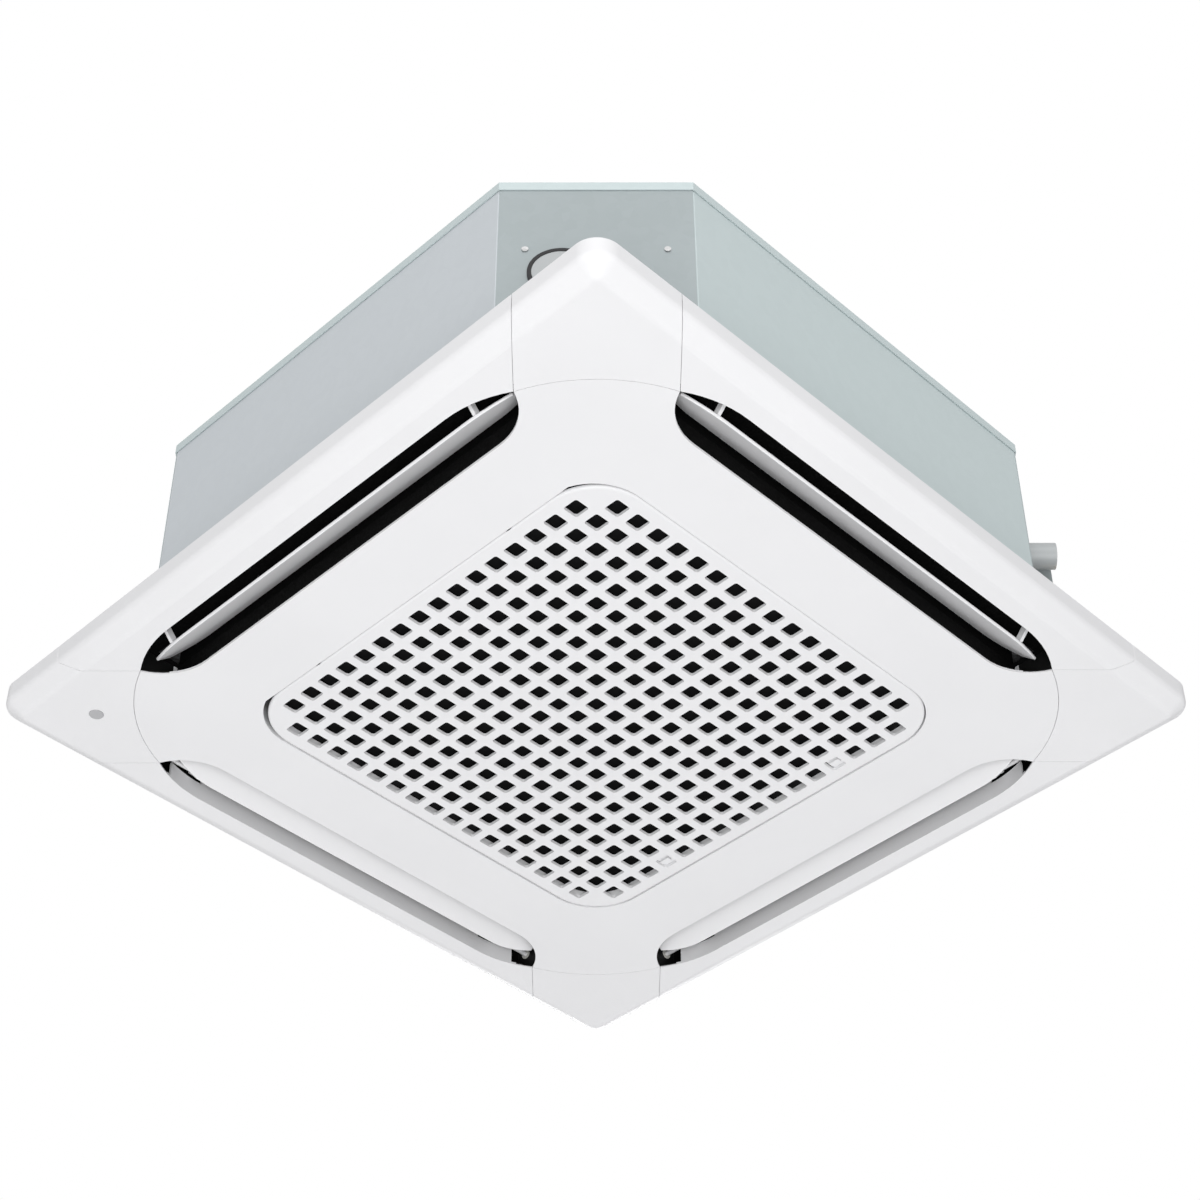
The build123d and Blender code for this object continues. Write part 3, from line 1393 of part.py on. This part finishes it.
with BuildPart() as terminal_block:
    with BuildSketch(Plane.XY.offset(board_bottom)):
        with Locations((-box_middle, 0)):
            Rectangle(terminal_width, terminal_length)
    extrude(amount=-terminal_height)
    with BuildSketch(Plane.XY.offset(board_bottom - terminal_height)):
        with Locations((-box_middle, 0)):
            with GridLocations(terminal_width / 2, terminal_length / terminal_ways, 2, terminal_ways):
                Circle(terminal_width / 6)
    extrude(amount=terminal_height / 2, mode=Mode.SUBTRACT)
save(terminal_block, "terminal_block")
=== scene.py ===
import bpy
from mathutils import Matrix, Vector

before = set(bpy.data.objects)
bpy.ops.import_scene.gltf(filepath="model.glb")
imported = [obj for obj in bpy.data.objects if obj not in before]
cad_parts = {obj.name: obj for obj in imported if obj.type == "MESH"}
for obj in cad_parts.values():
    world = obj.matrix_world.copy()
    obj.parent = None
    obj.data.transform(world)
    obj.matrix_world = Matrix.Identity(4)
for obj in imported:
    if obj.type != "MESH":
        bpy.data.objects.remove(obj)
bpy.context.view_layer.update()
scene = bpy.context.scene
print("frame loaded,", len(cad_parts), "pieces")


# shader helpers
def newGroup(name, inputs, outputs):
    tree = bpy.data.node_groups.new(name, "ShaderNodeTree")
    for label, kind, value in inputs:
        socket = tree.interface.new_socket(name=label, in_out="INPUT", socket_type=kind)
        socket.default_value = value
    for label, kind in outputs:
        tree.interface.new_socket(name=label, in_out="OUTPUT", socket_type=kind)
    return tree, tree.nodes.new("NodeGroupInput"), tree.nodes.new("NodeGroupOutput")


def addNode(tree, kind, links=(), **values):
    # links: (input name, socket) pairs, values: plain attributes of the node
    node = tree.nodes.new(kind)
    for key, value in values.items():
        setattr(node, key, value)
    for key, source in links:
        if hasattr(source, "is_output"):
            tree.links.new(source, node.inputs[key])
        else:
            node.inputs[key].default_value = source
    return node


def mapRange(tree, value, low, high, toLow, toHigh):
    links = [("Value", value), ("From Min", low), ("From Max", high), ("To Min", toLow), ("To Max", toHigh)]
    return addNode(tree, "ShaderNodeMapRange", links).outputs["Result"]


def maths(tree, operation, first, second=0.0, clamp=False):
    node = addNode(tree, "ShaderNodeMath", [(0, first), (1, second)], operation=operation, use_clamp=clamp)
    return node.outputs["Value"]


def vectorMaths(tree, operation, first, second):
    node = addNode(tree, "ShaderNodeVectorMath", [(0, first), (1, second)], operation=operation)
    return node.outputs["Vector"]


def objectPlace(tree):
    return addNode(tree, "ShaderNodeTexCoord").outputs["Object"]


# effects that more than one material uses
grainLook = {"fineDetail": 3.0, "fineRough": 0.6, "mottleScale": 7.0, "mottleDetail": 4.0}
spangleLook = {"bendScale": 60.0, "bendDetail": 2.0, "bend": 0.01}
dustLook = {"noiseScale": 40.0, "noiseDetail": 5.0, "noiseLow": 0.3, "noiseHigh": 0.7, "thinnest": 0.5,
            "hollowFull": 0.35, "hollowNone": 0.95, "samples": 8}
beadLook = {"seamLow": 0.35, "seamHigh": 0.75, "heightReach": 0.8}
brushLook = {"detail": 6.0}
# where the painted shade in the slot tips sits
tipLook = {"from": 0.276, "to": 0.3, "inner": 0.366, "outer": 0.438, "face": -0.0345}   # metres on the panel


def makeGrain():
    # fine moulded texture: a height for the bump and a faint mottle
    tree, given, out = newGroup("Moulded grain", [("Scale", "NodeSocketFloat", 900.0)],
                                [("Height", "NodeSocketFloat"), ("Mottle", "NodeSocketFloat")])
    place = objectPlace(tree)
    fine = addNode(tree, "ShaderNodeTexNoise", [("Vector", place), ("Scale", given.outputs["Scale"]),
                                                ("Detail", grainLook["fineDetail"]),
                                                ("Roughness", grainLook["fineRough"])])
    coarse = addNode(tree, "ShaderNodeTexNoise", [("Vector", place), ("Scale", grainLook["mottleScale"]),
                                                  ("Detail", grainLook["mottleDetail"])])
    tree.links.new(fine.outputs["Fac"], out.inputs["Height"])
    tree.links.new(coarse.outputs["Fac"], out.inputs["Mottle"])
    return tree


def makeSpangle():
    # zinc crystals: a tone per crystal, and its own slight height
    tree, given, out = newGroup("Zinc spangle", [("Scale", "NodeSocketFloat", 130.0)],
                                [("Tone", "NodeSocketFloat"), ("Height", "NodeSocketFloat")])
    place = objectPlace(tree)
    bent = addNode(tree, "ShaderNodeTexNoise", [("Vector", place), ("Scale", spangleLook["bendScale"]),
                                                ("Detail", spangleLook["bendDetail"])])
    pushed = vectorMaths(tree, "MULTIPLY", bent.outputs["Color"], (spangleLook["bend"],) * 3)
    moved = vectorMaths(tree, "ADD", place, pushed)
    cells = addNode(tree, "ShaderNodeTexVoronoi", [("Vector", moved), ("Scale", given.outputs["Scale"])])
    split = addNode(tree, "ShaderNodeSeparateColor", [("Color", cells.outputs["Color"])])
    tree.links.new(split.outputs["Red"], out.inputs["Tone"])
    tree.links.new(cells.outputs["Distance"], out.inputs["Height"])
    return tree


def makeDust():
    # dust that gathers in inner corners, broken up by noise
    tree, given, out = newGroup("Corner dust", [("Reach", "NodeSocketFloat", 0.012),
                                                ("Amount", "NodeSocketFloat", 1.0)],
                                [("Mask", "NodeSocketFloat")])
    hollow = addNode(tree, "ShaderNodeAmbientOcclusion", [("Distance", given.outputs["Reach"])],
                     samples=dustLook["samples"])
    noise = addNode(tree, "ShaderNodeTexNoise", [("Vector", objectPlace(tree)), ("Scale", dustLook["noiseScale"]),
                                                 ("Detail", dustLook["noiseDetail"])])
    deep = mapRange(tree, hollow.outputs["AO"], dustLook["hollowFull"], dustLook["hollowNone"], 1.0, 0.0)
    patches = mapRange(tree, noise.outputs["Fac"], dustLook["noiseLow"], dustLook["noiseHigh"],
                       dustLook["thinnest"], 1.0)
    broken = maths(tree, "MULTIPLY", deep, patches)
    tree.links.new(maths(tree, "MULTIPLY", broken, given.outputs["Amount"], clamp=True), out.inputs["Mask"])
    return tree


def makeBeads():
    # cut foam: packed beads with darker seams
    tree, given, out = newGroup("Foam beads", [("Scale", "NodeSocketFloat", 260.0)],
                                [("Seam", "NodeSocketFloat"), ("Height", "NodeSocketFloat")])
    cells = addNode(tree, "ShaderNodeTexVoronoi", [("Vector", objectPlace(tree)),
                                                   ("Scale", given.outputs["Scale"])])
    away = cells.outputs["Distance"]
    tree.links.new(mapRange(tree, away, beadLook["seamLow"], beadLook["seamHigh"], 0.0, 1.0), out.inputs["Seam"])
    tree.links.new(mapRange(tree, away, 0.0, beadLook["heightReach"], 1.0, 0.0), out.inputs["Height"])
    return tree


def makeBrush():
    # fine lines left by rolling or turning, long in one direction
    tree, given, out = newGroup("Drawn lines", [("Stretch", "NodeSocketVector", (1.0, 1.0, 40.0)),
                                                ("Scale", "NodeSocketFloat", 12.0)],
                                [("Lines", "NodeSocketFloat")])
    longer = vectorMaths(tree, "MULTIPLY", objectPlace(tree), given.outputs["Stretch"])
    noise = addNode(tree, "ShaderNodeTexNoise", [("Vector", longer), ("Scale", given.outputs["Scale"]),
                                                 ("Detail", brushLook["detail"])])
    tree.links.new(noise.outputs["Fac"], out.inputs["Lines"])
    return tree


def makePaintedTipShade():
    # painted shade: mask for the inside walls at the pointed ends of the four air slots, which are coloured black
    # for the shade deep in the slot ends
    tree, given, out = newGroup("Slot tips, painted shade", [("From", "NodeSocketFloat", tipLook["from"]),
                                              ("Face", "NodeSocketFloat", tipLook["face"])],
                                [("Mask", "NodeSocketFloat")])
    split = addNode(tree, "ShaderNodeSeparateXYZ", [("Vector", objectPlace(tree))])
    across, along = [maths(tree, "ABSOLUTE", split.outputs[axis]) for axis in ("X", "Y")]
    outward = maths(tree, "MAXIMUM", across, along)
    sideways = maths(tree, "MINIMUM", across, along)
    limits = [("GREATER_THAN", sideways, given.outputs["From"]), ("LESS_THAN", sideways, tipLook["to"]),
              ("GREATER_THAN", outward, tipLook["inner"]), ("LESS_THAN", outward, tipLook["outer"]),
              ("GREATER_THAN", split.outputs["Z"], given.outputs["Face"])]
    mask = 1.0
    for operation, value, edge in limits:
        mask = maths(tree, "MULTIPLY", mask, maths(tree, operation, value, edge))
    tree.links.new(mask, out.inputs["Mask"])
    return tree


grain, spangle, dust, beads, drawnLines = makeGrain(), makeSpangle(), makeDust(), makeBeads(), makeBrush()
tips = makePaintedTipShade()


def useGroup(tree, group, links=()):
    node = tree.nodes.new("ShaderNodeGroup")
    node.node_tree = group
    for key, value in links:
        node.inputs[key].default_value = value
    return node


def newMaterial(name):
    material = bpy.data.materials.new(name)
    material.use_nodes = True
    return material, material.node_tree, material.node_tree.nodes["Principled BSDF"]


def mixColour(tree, factor, first, second):
    node = tree.nodes.new("ShaderNodeMix")
    node.data_type = "RGBA"
    tree.links.new(factor, node.inputs["Factor"])
    for key, colour in ((6, first), (7, second)):
        if hasattr(colour, "is_output"):
            tree.links.new(colour, node.inputs[key])
        else:
            node.inputs[key].default_value = (*colour, 1.0)
    return node.outputs[2]


def addBump(tree, shader, height, strength, distance):
    links = [("Height", height), ("Strength", strength), ("Distance", distance)]
    bump = addNode(tree, "ShaderNodeBump", links)
    tree.links.new(bump.outputs["Normal"], shader.inputs["Normal"])


bumpDepth = {"fine": 0.0002, "foam": 0.0006, "fins": 0.001}   # metres
mottleRange = {"colourLow": 0.35, "colourHigh": 0.65, "roughLow": 0.3, "roughHigh": 0.7}
usualShine = 0.5
sheetDustReach = 0.008
metalDustReach = 0.006


def moulded(name, look):
    # any moulded plastic: grain, faint mottle, dust in the corners
    material, tree, shader = newMaterial(name)
    surface = useGroup(tree, grain, [("Scale", look["grainScale"])])
    corners = useGroup(tree, dust, [("Reach", look["dustReach"]), ("Amount", look["dustAmount"])])
    mottle = surface.outputs["Mottle"]
    clean = mixColour(tree, mapRange(tree, mottle, mottleRange["colourLow"], mottleRange["colourHigh"], 0.0, 1.0),
                      look["colour"], look["colourOther"])
    tree.links.new(mixColour(tree, corners.outputs["Mask"], clean, look["dustColour"]),
                   shader.inputs["Base Color"])
    tree.links.new(mapRange(tree, mottle, mottleRange["roughLow"], mottleRange["roughHigh"],
                            look["roughLow"], look["roughHigh"]), shader.inputs["Roughness"])
    shader.inputs["Specular IOR Level"].default_value = look.get("shine", usualShine)
    addBump(tree, shader, surface.outputs["Height"], look["bump"], bumpDepth["fine"])
    return material


def zincSheet(name, look):
    # zinc coated steel: faint crystals, a little dust in the folds
    material, tree, shader = newMaterial(name)
    crystals = useGroup(tree, spangle, [("Scale", look["crystalScale"])])
    corners = useGroup(tree, dust, [("Reach", sheetDustReach), ("Amount", look["dustAmount"])])
    tone = mixColour(tree, crystals.outputs["Tone"], look["colour"], look["colourOther"])
    tree.links.new(mixColour(tree, corners.outputs["Mask"], tone, look["dustColour"]),
                   shader.inputs["Base Color"])
    tree.links.new(mapRange(tree, crystals.outputs["Tone"], 0.0, 1.0, look["roughLow"], look["roughHigh"]),
                   shader.inputs["Roughness"])
    shader.inputs["Metallic"].default_value = look["metal"]
    addBump(tree, shader, crystals.outputs["Height"], look["bump"], bumpDepth["fine"])
    return material


def foam(name, look):
    # cut bead foam
    material, tree, shader = newMaterial(name)
    cut = useGroup(tree, beads, [("Scale", look["beadScale"])])
    tree.links.new(mixColour(tree, cut.outputs["Seam"], look["colour"], look["seamColour"]),
                   shader.inputs["Base Color"])
    shader.inputs["Roughness"].default_value = look["rough"]
    shader.inputs["Specular IOR Level"].default_value = look["shine"]
    addBump(tree, shader, cut.outputs["Height"], look["bump"], bumpDepth["foam"])
    return material


def bareMetal(name, look):
    # copper, brass, plated steel: drawn lines, tarnish where dust gathers
    material, tree, shader = newMaterial(name)
    lines = useGroup(tree, drawnLines, [("Scale", look["lineScale"]), ("Stretch", look["stretch"])])
    corners = useGroup(tree, dust, [("Reach", metalDustReach), ("Amount", look["tarnish"])])
    tone = mixColour(tree, lines.outputs["Lines"], look["colour"], look["colourOther"])
    tree.links.new(mixColour(tree, corners.outputs["Mask"], tone, look["tarnishColour"]),
                   shader.inputs["Base Color"])
    tree.links.new(mapRange(tree, lines.outputs["Lines"], mottleRange["roughLow"], mottleRange["roughHigh"],
                            look["roughLow"], look["roughHigh"]), shader.inputs["Roughness"])
    shader.inputs["Metallic"].default_value = look["metal"]
    addBump(tree, shader, lines.outputs["Lines"], look["bump"], bumpDepth["fine"])
    return material


def dress(nodes, material):
    for name in nodes:
        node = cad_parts[name]
        node.data.materials.clear()
        node.data.materials.append(material)


# panel, corner covers, grille and latches
# the tip colour is the black of the painted shade in the slot tips
panelLook = {
    "colour": (0.765, 0.765, 0.775), "colourOther": (0.75, 0.75, 0.76), "dustColour": (0.58, 0.58, 0.59),
    "tipShadeColour": (0.006, 0.006, 0.006), "grainScale": 1400.0, "dustReach": 0.003, "dustAmount": 0.15,
    "roughLow": 0.5, "roughHigh": 0.58, "bump": 0.08, "shine": 0.35,
}
panelWhite = moulded("Panel white", panelLook)
# the frame's colour holds painted shade: the inside walls at the slot tips turn black for the shade in the deep
# slot ends
frameWhite = moulded("Panel white, painted shade in slot tips", panelLook)
frameTree = frameWhite.node_tree
frameShader = frameTree.nodes["Principled BSDF"]
frameTree.links.new(mixColour(frameTree, useGroup(frameTree, tips).outputs["Mask"],
                              frameShader.inputs["Base Color"].links[0].from_socket, panelLook["tipShadeColour"]),
                    frameShader.inputs["Base Color"])
dress(["panel_frame"], frameWhite)
dress(["inlet_grille", "latch_left", "latch_right", "corner_cover_front_left",
       "corner_cover_front_right", "corner_cover_back_left", "corner_cover_back_right"], panelWhite)

# vanes
vaneLook = {
    "colour": (0.80, 0.80, 0.81), "colourOther": (0.785, 0.785, 0.795), "dustColour": (0.55, 0.55, 0.56),
    "grainScale": 1800.0, "dustReach": 0.003, "dustAmount": 0.05,
    "roughLow": 0.3, "roughHigh": 0.4, "bump": 0.05,
}
dress(["vane_front", "vane_right", "vane_back", "vane_left"], moulded("Vane white", vaneLook))

# receiver window, a pale grey dot
lensLook = {
    "colour": (0.45, 0.45, 0.46), "colourOther": (0.41, 0.41, 0.42), "dustColour": (0.30, 0.30, 0.31),
    "grainScale": 300.0, "dustReach": 0.003, "dustAmount": 0.2,
    "roughLow": 0.12, "roughHigh": 0.2, "bump": 0.02,
}
dress(["receiver_lens"], moulded("Receiver window", lensLook))

# dark mouldings and the filter
darkLook = {
    "colour": (0.018, 0.018, 0.02), "colourOther": (0.028, 0.028, 0.03), "dustColour": (0.06, 0.06, 0.06),
    "grainScale": 700.0, "dustReach": 0.01, "dustAmount": 0.3,
    "roughLow": 0.5, "roughHigh": 0.62, "bump": 0.15,
}
dress(["bell_mouth", "terminal_block"], moulded("Dark moulding", darkLook))
filterLook = dict(darkLook, colour=(0.004, 0.004, 0.0045), colourOther=(0.006, 0.006, 0.0065),
                  dustColour=(0.015, 0.015, 0.015), roughLow=0.75, roughHigh=0.85, shine=0.1)
dress(["air_filter"], moulded("Filter black", filterLook))
rubberLook = dict(darkLook, colour=(0.022, 0.022, 0.022), roughLow=0.7, roughHigh=0.85, bump=0.3)
dress(["cap_gasket", "cable_gland", "motor_bushes", "panel_seal"], moulded("Black rubber", rubberLook))
wheelLook = dict(darkLook, colour=(0.10, 0.10, 0.11), colourOther=(0.13, 0.13, 0.14),
                 roughLow=0.4, roughHigh=0.5)
dress(["fan_wheel"], moulded("Fan grey", wheelLook))

# pale mouldings inside
nylonLook = dict(vaneLook, colour=(0.62, 0.62, 0.58), colourOther=(0.56, 0.56, 0.52),
                 roughLow=0.4, roughHigh=0.55)
dress(["vane_bushes", "drain_pump", "pump_impeller", "float_switch"], moulded("Pale nylon", nylonLook))

# service cap and drain port, in the casing's grey
capLook = {
    "colour": (0.46, 0.48, 0.485), "colourOther": (0.43, 0.45, 0.455), "dustColour": (0.2, 0.2, 0.2),
    "grainScale": 900.0, "dustReach": 0.003, "dustAmount": 0.3,
    "roughLow": 0.35, "roughHigh": 0.5, "bump": 0.1,
}
dress(["service_cap", "drain_tube"], moulded("Cap grey", capLook))

# foam: the air ways are black inside; the drain pan takes the same black as painted shade behind the grille
blackFoamAndPanShadeLook = {"colour": (0.004, 0.004, 0.004), "seamColour": (0.002, 0.002, 0.002), "beadScale": 300.0,
                 "rough": 0.9, "shine": 0.08, "bump": 0.3}
dress(["outlet_duct_front", "outlet_duct_right", "outlet_duct_back", "outlet_duct_left", "drain_pan"],
      foam("Black foam, with painted shade on the drain pan", blackFoamAndPanShadeLook))
greyFoamLook = dict(blackFoamAndPanShadeLook, colour=(0.12, 0.12, 0.125), seamColour=(0.07, 0.07, 0.07),
                    shine=0.3)
dress(["foam_liner"], foam("Grey foam", greyFoamLook))
whiteFoamLook = dict(blackFoamAndPanShadeLook, colour=(0.78, 0.78, 0.76), seamColour=(0.60, 0.60, 0.58),
                     beadScale=220.0, rough=0.8, shine=0.4)
dress(["float_ring"], foam("White foam", whiteFoamLook))

# zinc coated sheet
sheetLook = {
    "colour": (0.53, 0.565, 0.59), "colourOther": (0.545, 0.58, 0.605), "dustColour": (0.36, 0.38, 0.39),
    "crystalScale": 90.0, "dustAmount": 0.15, "roughLow": 0.46, "roughHigh": 0.5,
    "metal": 0.15, "bump": 0.015,
}
dress(["side_plate_front", "side_plate_left", "control_box", "control_cover"],
      zincSheet("Zinc sheet", sheetLook))
coolLook = dict(sheetLook, colour=(0.505, 0.578, 0.582), colourOther=(0.52, 0.593, 0.597))
dress(["side_plate_right", "side_plate_back", "top_plate"],
      zincSheet("Zinc sheet, cooler tone", coolLook))
# painted shade: the corner plates are the same zinc sheet, given a darker copy of its colour because the corner
# faces catch less light
cornerShadeLook = dict(sheetLook, colour=(0.315, 0.355, 0.362), colourOther=(0.33, 0.37, 0.378))
dress(["corner_plate_front_right", "corner_plate_back_left", "corner_plate_front_left", "pipe_plate"],
      zincSheet("Zinc corner, painted shade", cornerShadeLook))
bracketLook = dict(sheetLook, colour=(0.40, 0.42, 0.43), colourOther=(0.46, 0.48, 0.49),
                   crystalScale=160.0, metal=0.8)
dress(["hanger_brackets"], zincSheet("Zinc bracket", bracketLook))

# bare and plated metal
steelLook = {
    "colour": (0.48, 0.48, 0.48), "colourOther": (0.58, 0.58, 0.58), "tarnishColour": (0.12, 0.11, 0.10),
    "lineScale": 14.0, "stretch": (1.0, 1.0, 30.0), "tarnish": 0.3,
    "roughLow": 0.25, "roughHigh": 0.4, "metal": 1.0, "bump": 0.04,
}
dress(["casing_screws", "panel_screws", "grille_pins", "motor_shaft", "fan_motor", "vane_motors"],
      bareMetal("Plated steel", steelLook))
copperLook = dict(steelLook, colour=(0.70, 0.31, 0.18), colourOther=(0.80, 0.42, 0.28),
                  tarnishColour=(0.16, 0.07, 0.04), stretch=(3.0, 3.0, 3.0), tarnish=0.6)
dress(["coil_ends", "gas_pipe", "liquid_pipe"], bareMetal("Copper", copperLook))
brassLook = dict(steelLook, colour=(0.72, 0.50, 0.20), colourOther=(0.80, 0.58, 0.28),
                 tarnishColour=(0.20, 0.12, 0.04))
dress(["flare_nuts", "fan_nut"], bareMetal("Brass", brassLook))

# coil: thin fins show as close upright lines, with painted shade in the dark gaps between them
finLook = {
    "colour": (0.74, 0.75, 0.76), "gapShadeColour": (0.03, 0.03, 0.03), "pitch": 0.0018,
    "finEdge": 0.2, "gapEdge": 0.5, "metal": 0.9, "rough": 0.35, "bump": 0.6,
}
finMaterial, finTree, finShader = newMaterial("Coil fins")
finPlace = addNode(finTree, "ShaderNodeSeparateXYZ", [("Vector", objectPlace(finTree))])
finPitch = finLook["pitch"]
finWave = maths(finTree, "PINGPONG", maths(finTree, "ADD", finPlace.outputs["X"], finPlace.outputs["Y"]), finPitch)
finMask = mapRange(finTree, finWave, finLook["finEdge"] * finPitch, finLook["gapEdge"] * finPitch, 0.0, 1.0)
finTree.links.new(mixColour(finTree, finMask, finLook["colour"], finLook["gapShadeColour"]),
                  finShader.inputs["Base Color"])
finShader.inputs["Metallic"].default_value = finLook["metal"]
finShader.inputs["Roughness"].default_value = finLook["rough"]
addBump(finTree, finShader, finMask, finLook["bump"], bumpDepth["fins"])
dress(["fin_pack"], finMaterial)

# circuit board: green with pale tracks
boardLook = {
    "colour": (0.01, 0.10, 0.05), "trackColour": (0.03, 0.22, 0.10), "padColour": (0.55, 0.52, 0.45),
    "trackScale": 60.0, "trackWidth": 0.03, "padScale": 220.0, "padInner": 0.1, "padOuter": 0.14, "rough": 0.3,
}
boardMaterial, boardTree, boardShader = newMaterial("Circuit board")
boardPlace = objectPlace(boardTree)
boardBricks = addNode(boardTree, "ShaderNodeTexBrick", [("Vector", boardPlace), ("Scale", boardLook["trackScale"]),
                                                        ("Mortar Size", boardLook["trackWidth"])])
boardDots = addNode(boardTree, "ShaderNodeTexVoronoi", [("Vector", boardPlace), ("Scale", boardLook["padScale"])])
boardTracks = mixColour(boardTree, boardBricks.outputs["Fac"], boardLook["colour"], boardLook["trackColour"])
boardPads = mapRange(boardTree, boardDots.outputs["Distance"], boardLook["padInner"], boardLook["padOuter"],
                     1.0, 0.0)
boardTree.links.new(mixColour(boardTree, boardPads, boardTracks, boardLook["padColour"]),
                    boardShader.inputs["Base Color"])
boardShader.inputs["Roughness"].default_value = boardLook["rough"]
dress(["circuit_board"], boardMaterial)
print("materials done,", len(bpy.data.materials))


# rays that see the backdrop itself: from the camera, in a mirror or through glass
def seenRays(tree):
    rays = tree.nodes.new("ShaderNodeLightPath")
    seenBy = rays.outputs["Is Camera Ray"]
    for other in ("Is Glossy Ray", "Is Transmission Ray"):
        seenBy = maths(tree, "MAXIMUM", seenBy, rays.outputs[other])
    return seenBy


# world: white to the camera, a plain level for the light
worldLook = {"light": (0.80, 0.80, 0.81), "lightStrength": 0.6, "seen": (1.0, 1.0, 1.0), "seenStrength": 1.0}
world = bpy.data.worlds.new("Studio")
scene.world = world
world.use_nodes = True
skyTree = world.node_tree
skyTree.nodes.clear()
lightSky = addNode(skyTree, "ShaderNodeBackground", [("Color", (*worldLook["light"], 1.0)),
                                                     ("Strength", worldLook["lightStrength"])])
whiteSky = addNode(skyTree, "ShaderNodeBackground", [("Color", (*worldLook["seen"], 1.0)),
                                                     ("Strength", worldLook["seenStrength"])])
skyMix = addNode(skyTree, "ShaderNodeMixShader", [("Fac", seenRays(skyTree))])
skyTree.links.new(lightSky.outputs["Background"], skyMix.inputs[1])
skyTree.links.new(whiteSky.outputs["Background"], skyMix.inputs[2])
skyOut = skyTree.nodes.new("ShaderNodeOutputWorld")
skyTree.links.new(skyMix.outputs["Shader"], skyOut.inputs["Surface"])


# soft square lamps: place, the point it faces, side in metres, watts
lampLook = {
    "Key at the camera side": ((2.4, -2.4, -2.9), (0.0, 0.0, 0.0), 2.5, 130.0),
    "Fill from below": ((-0.8, 0.8, -4.0), (0.0, 0.0, 0.0), 2.5, 40.0),
    "Side light on the casing": ((3.2, -3.2, 2.0), (0.0, 0.0, 0.1), 2.0, 68.0),
    "Rim at the far side": ((-2.4, 2.4, 0.8), (0.0, 0.0, 0.0), 1.5, 40.0),
}
for lampName, (lampPlace, lampTarget, lampSide, lampPower) in lampLook.items():
    lampData = bpy.data.lights.new(lampName, "AREA")
    lampData.shape, lampData.size, lampData.energy = "SQUARE", lampSide, lampPower
    lamp = bpy.data.objects.new(lampName, lampData)
    scene.collection.objects.link(lamp)
    lamp.location = lampPlace
    lamp.rotation_euler = (Vector(lampTarget) - Vector(lampPlace)).to_track_quat("-Z", "Y").to_euler()

# plain pale floor, below the camera
floorLook = {
    "height": -4.2, "half": 20.0, "colour": (0.80, 0.80, 0.80), "colourOther": (0.84, 0.84, 0.84),
    "grainScale": 200.0, "rough": 0.9, "glow": (1.0, 1.0, 1.0), "seen": 0.45,
}
floorMesh = bpy.data.meshes.new("Floor")
floorCorners = [(x * floorLook["half"], y * floorLook["half"], floorLook["height"])
                for x, y in ((-1, -1), (1, -1), (1, 1), (-1, 1))]
floorMesh.from_pydata(floorCorners, [], [tuple(range(len(floorCorners)))])
floor = bpy.data.objects.new("Floor", floorMesh)
scene.collection.objects.link(floor)
floorMaterial, floorTree, floorShader = newMaterial("Floor paper")
floorGrain = useGroup(floorTree, grain, [("Scale", floorLook["grainScale"])])
floorTree.links.new(mixColour(floorTree, floorGrain.outputs["Mottle"], floorLook["colour"],
                              floorLook["colourOther"]), floorShader.inputs["Base Color"])
floorShader.inputs["Roughness"].default_value = floorLook["rough"]
floorShader.inputs["Emission Color"].default_value = (*floorLook["glow"], 1.0)
floorTree.links.new(mapRange(floorTree, seenRays(floorTree), 0.0, 1.0, 0.0, floorLook["seen"]),
                    floorShader.inputs["Emission Strength"])
floorMesh.materials.append(floorMaterial)

# camera below the near corner, looking up
cameraLook = {
    "place": (1.5327, -1.5402, -1.8142), "toward": (-0.52337, 0.5281, 0.66873), "up": (0.47361, -0.47212, 0.7435),
    "lens": 75.44, "nearest": 0.05, "furthest": 50.0,
}
camera = bpy.data.objects.new("Camera", bpy.data.cameras.new("Camera"))
scene.collection.objects.link(camera)
scene.camera = camera
camera.data.lens = cameraLook["lens"]
backward = -Vector(cameraLook["toward"]).normalized()
sideways = Vector(cameraLook["up"]).cross(backward).normalized()
turned = Matrix((sideways, backward.cross(sideways), backward)).transposed()
camera.matrix_world = Matrix.Translation(cameraLook["place"]) @ turned.to_4x4()
camera.data.clip_start, camera.data.clip_end = cameraLook["nearest"], cameraLook["furthest"]
scene.view_settings.view_transform = "Standard"
print("camera and lights done")
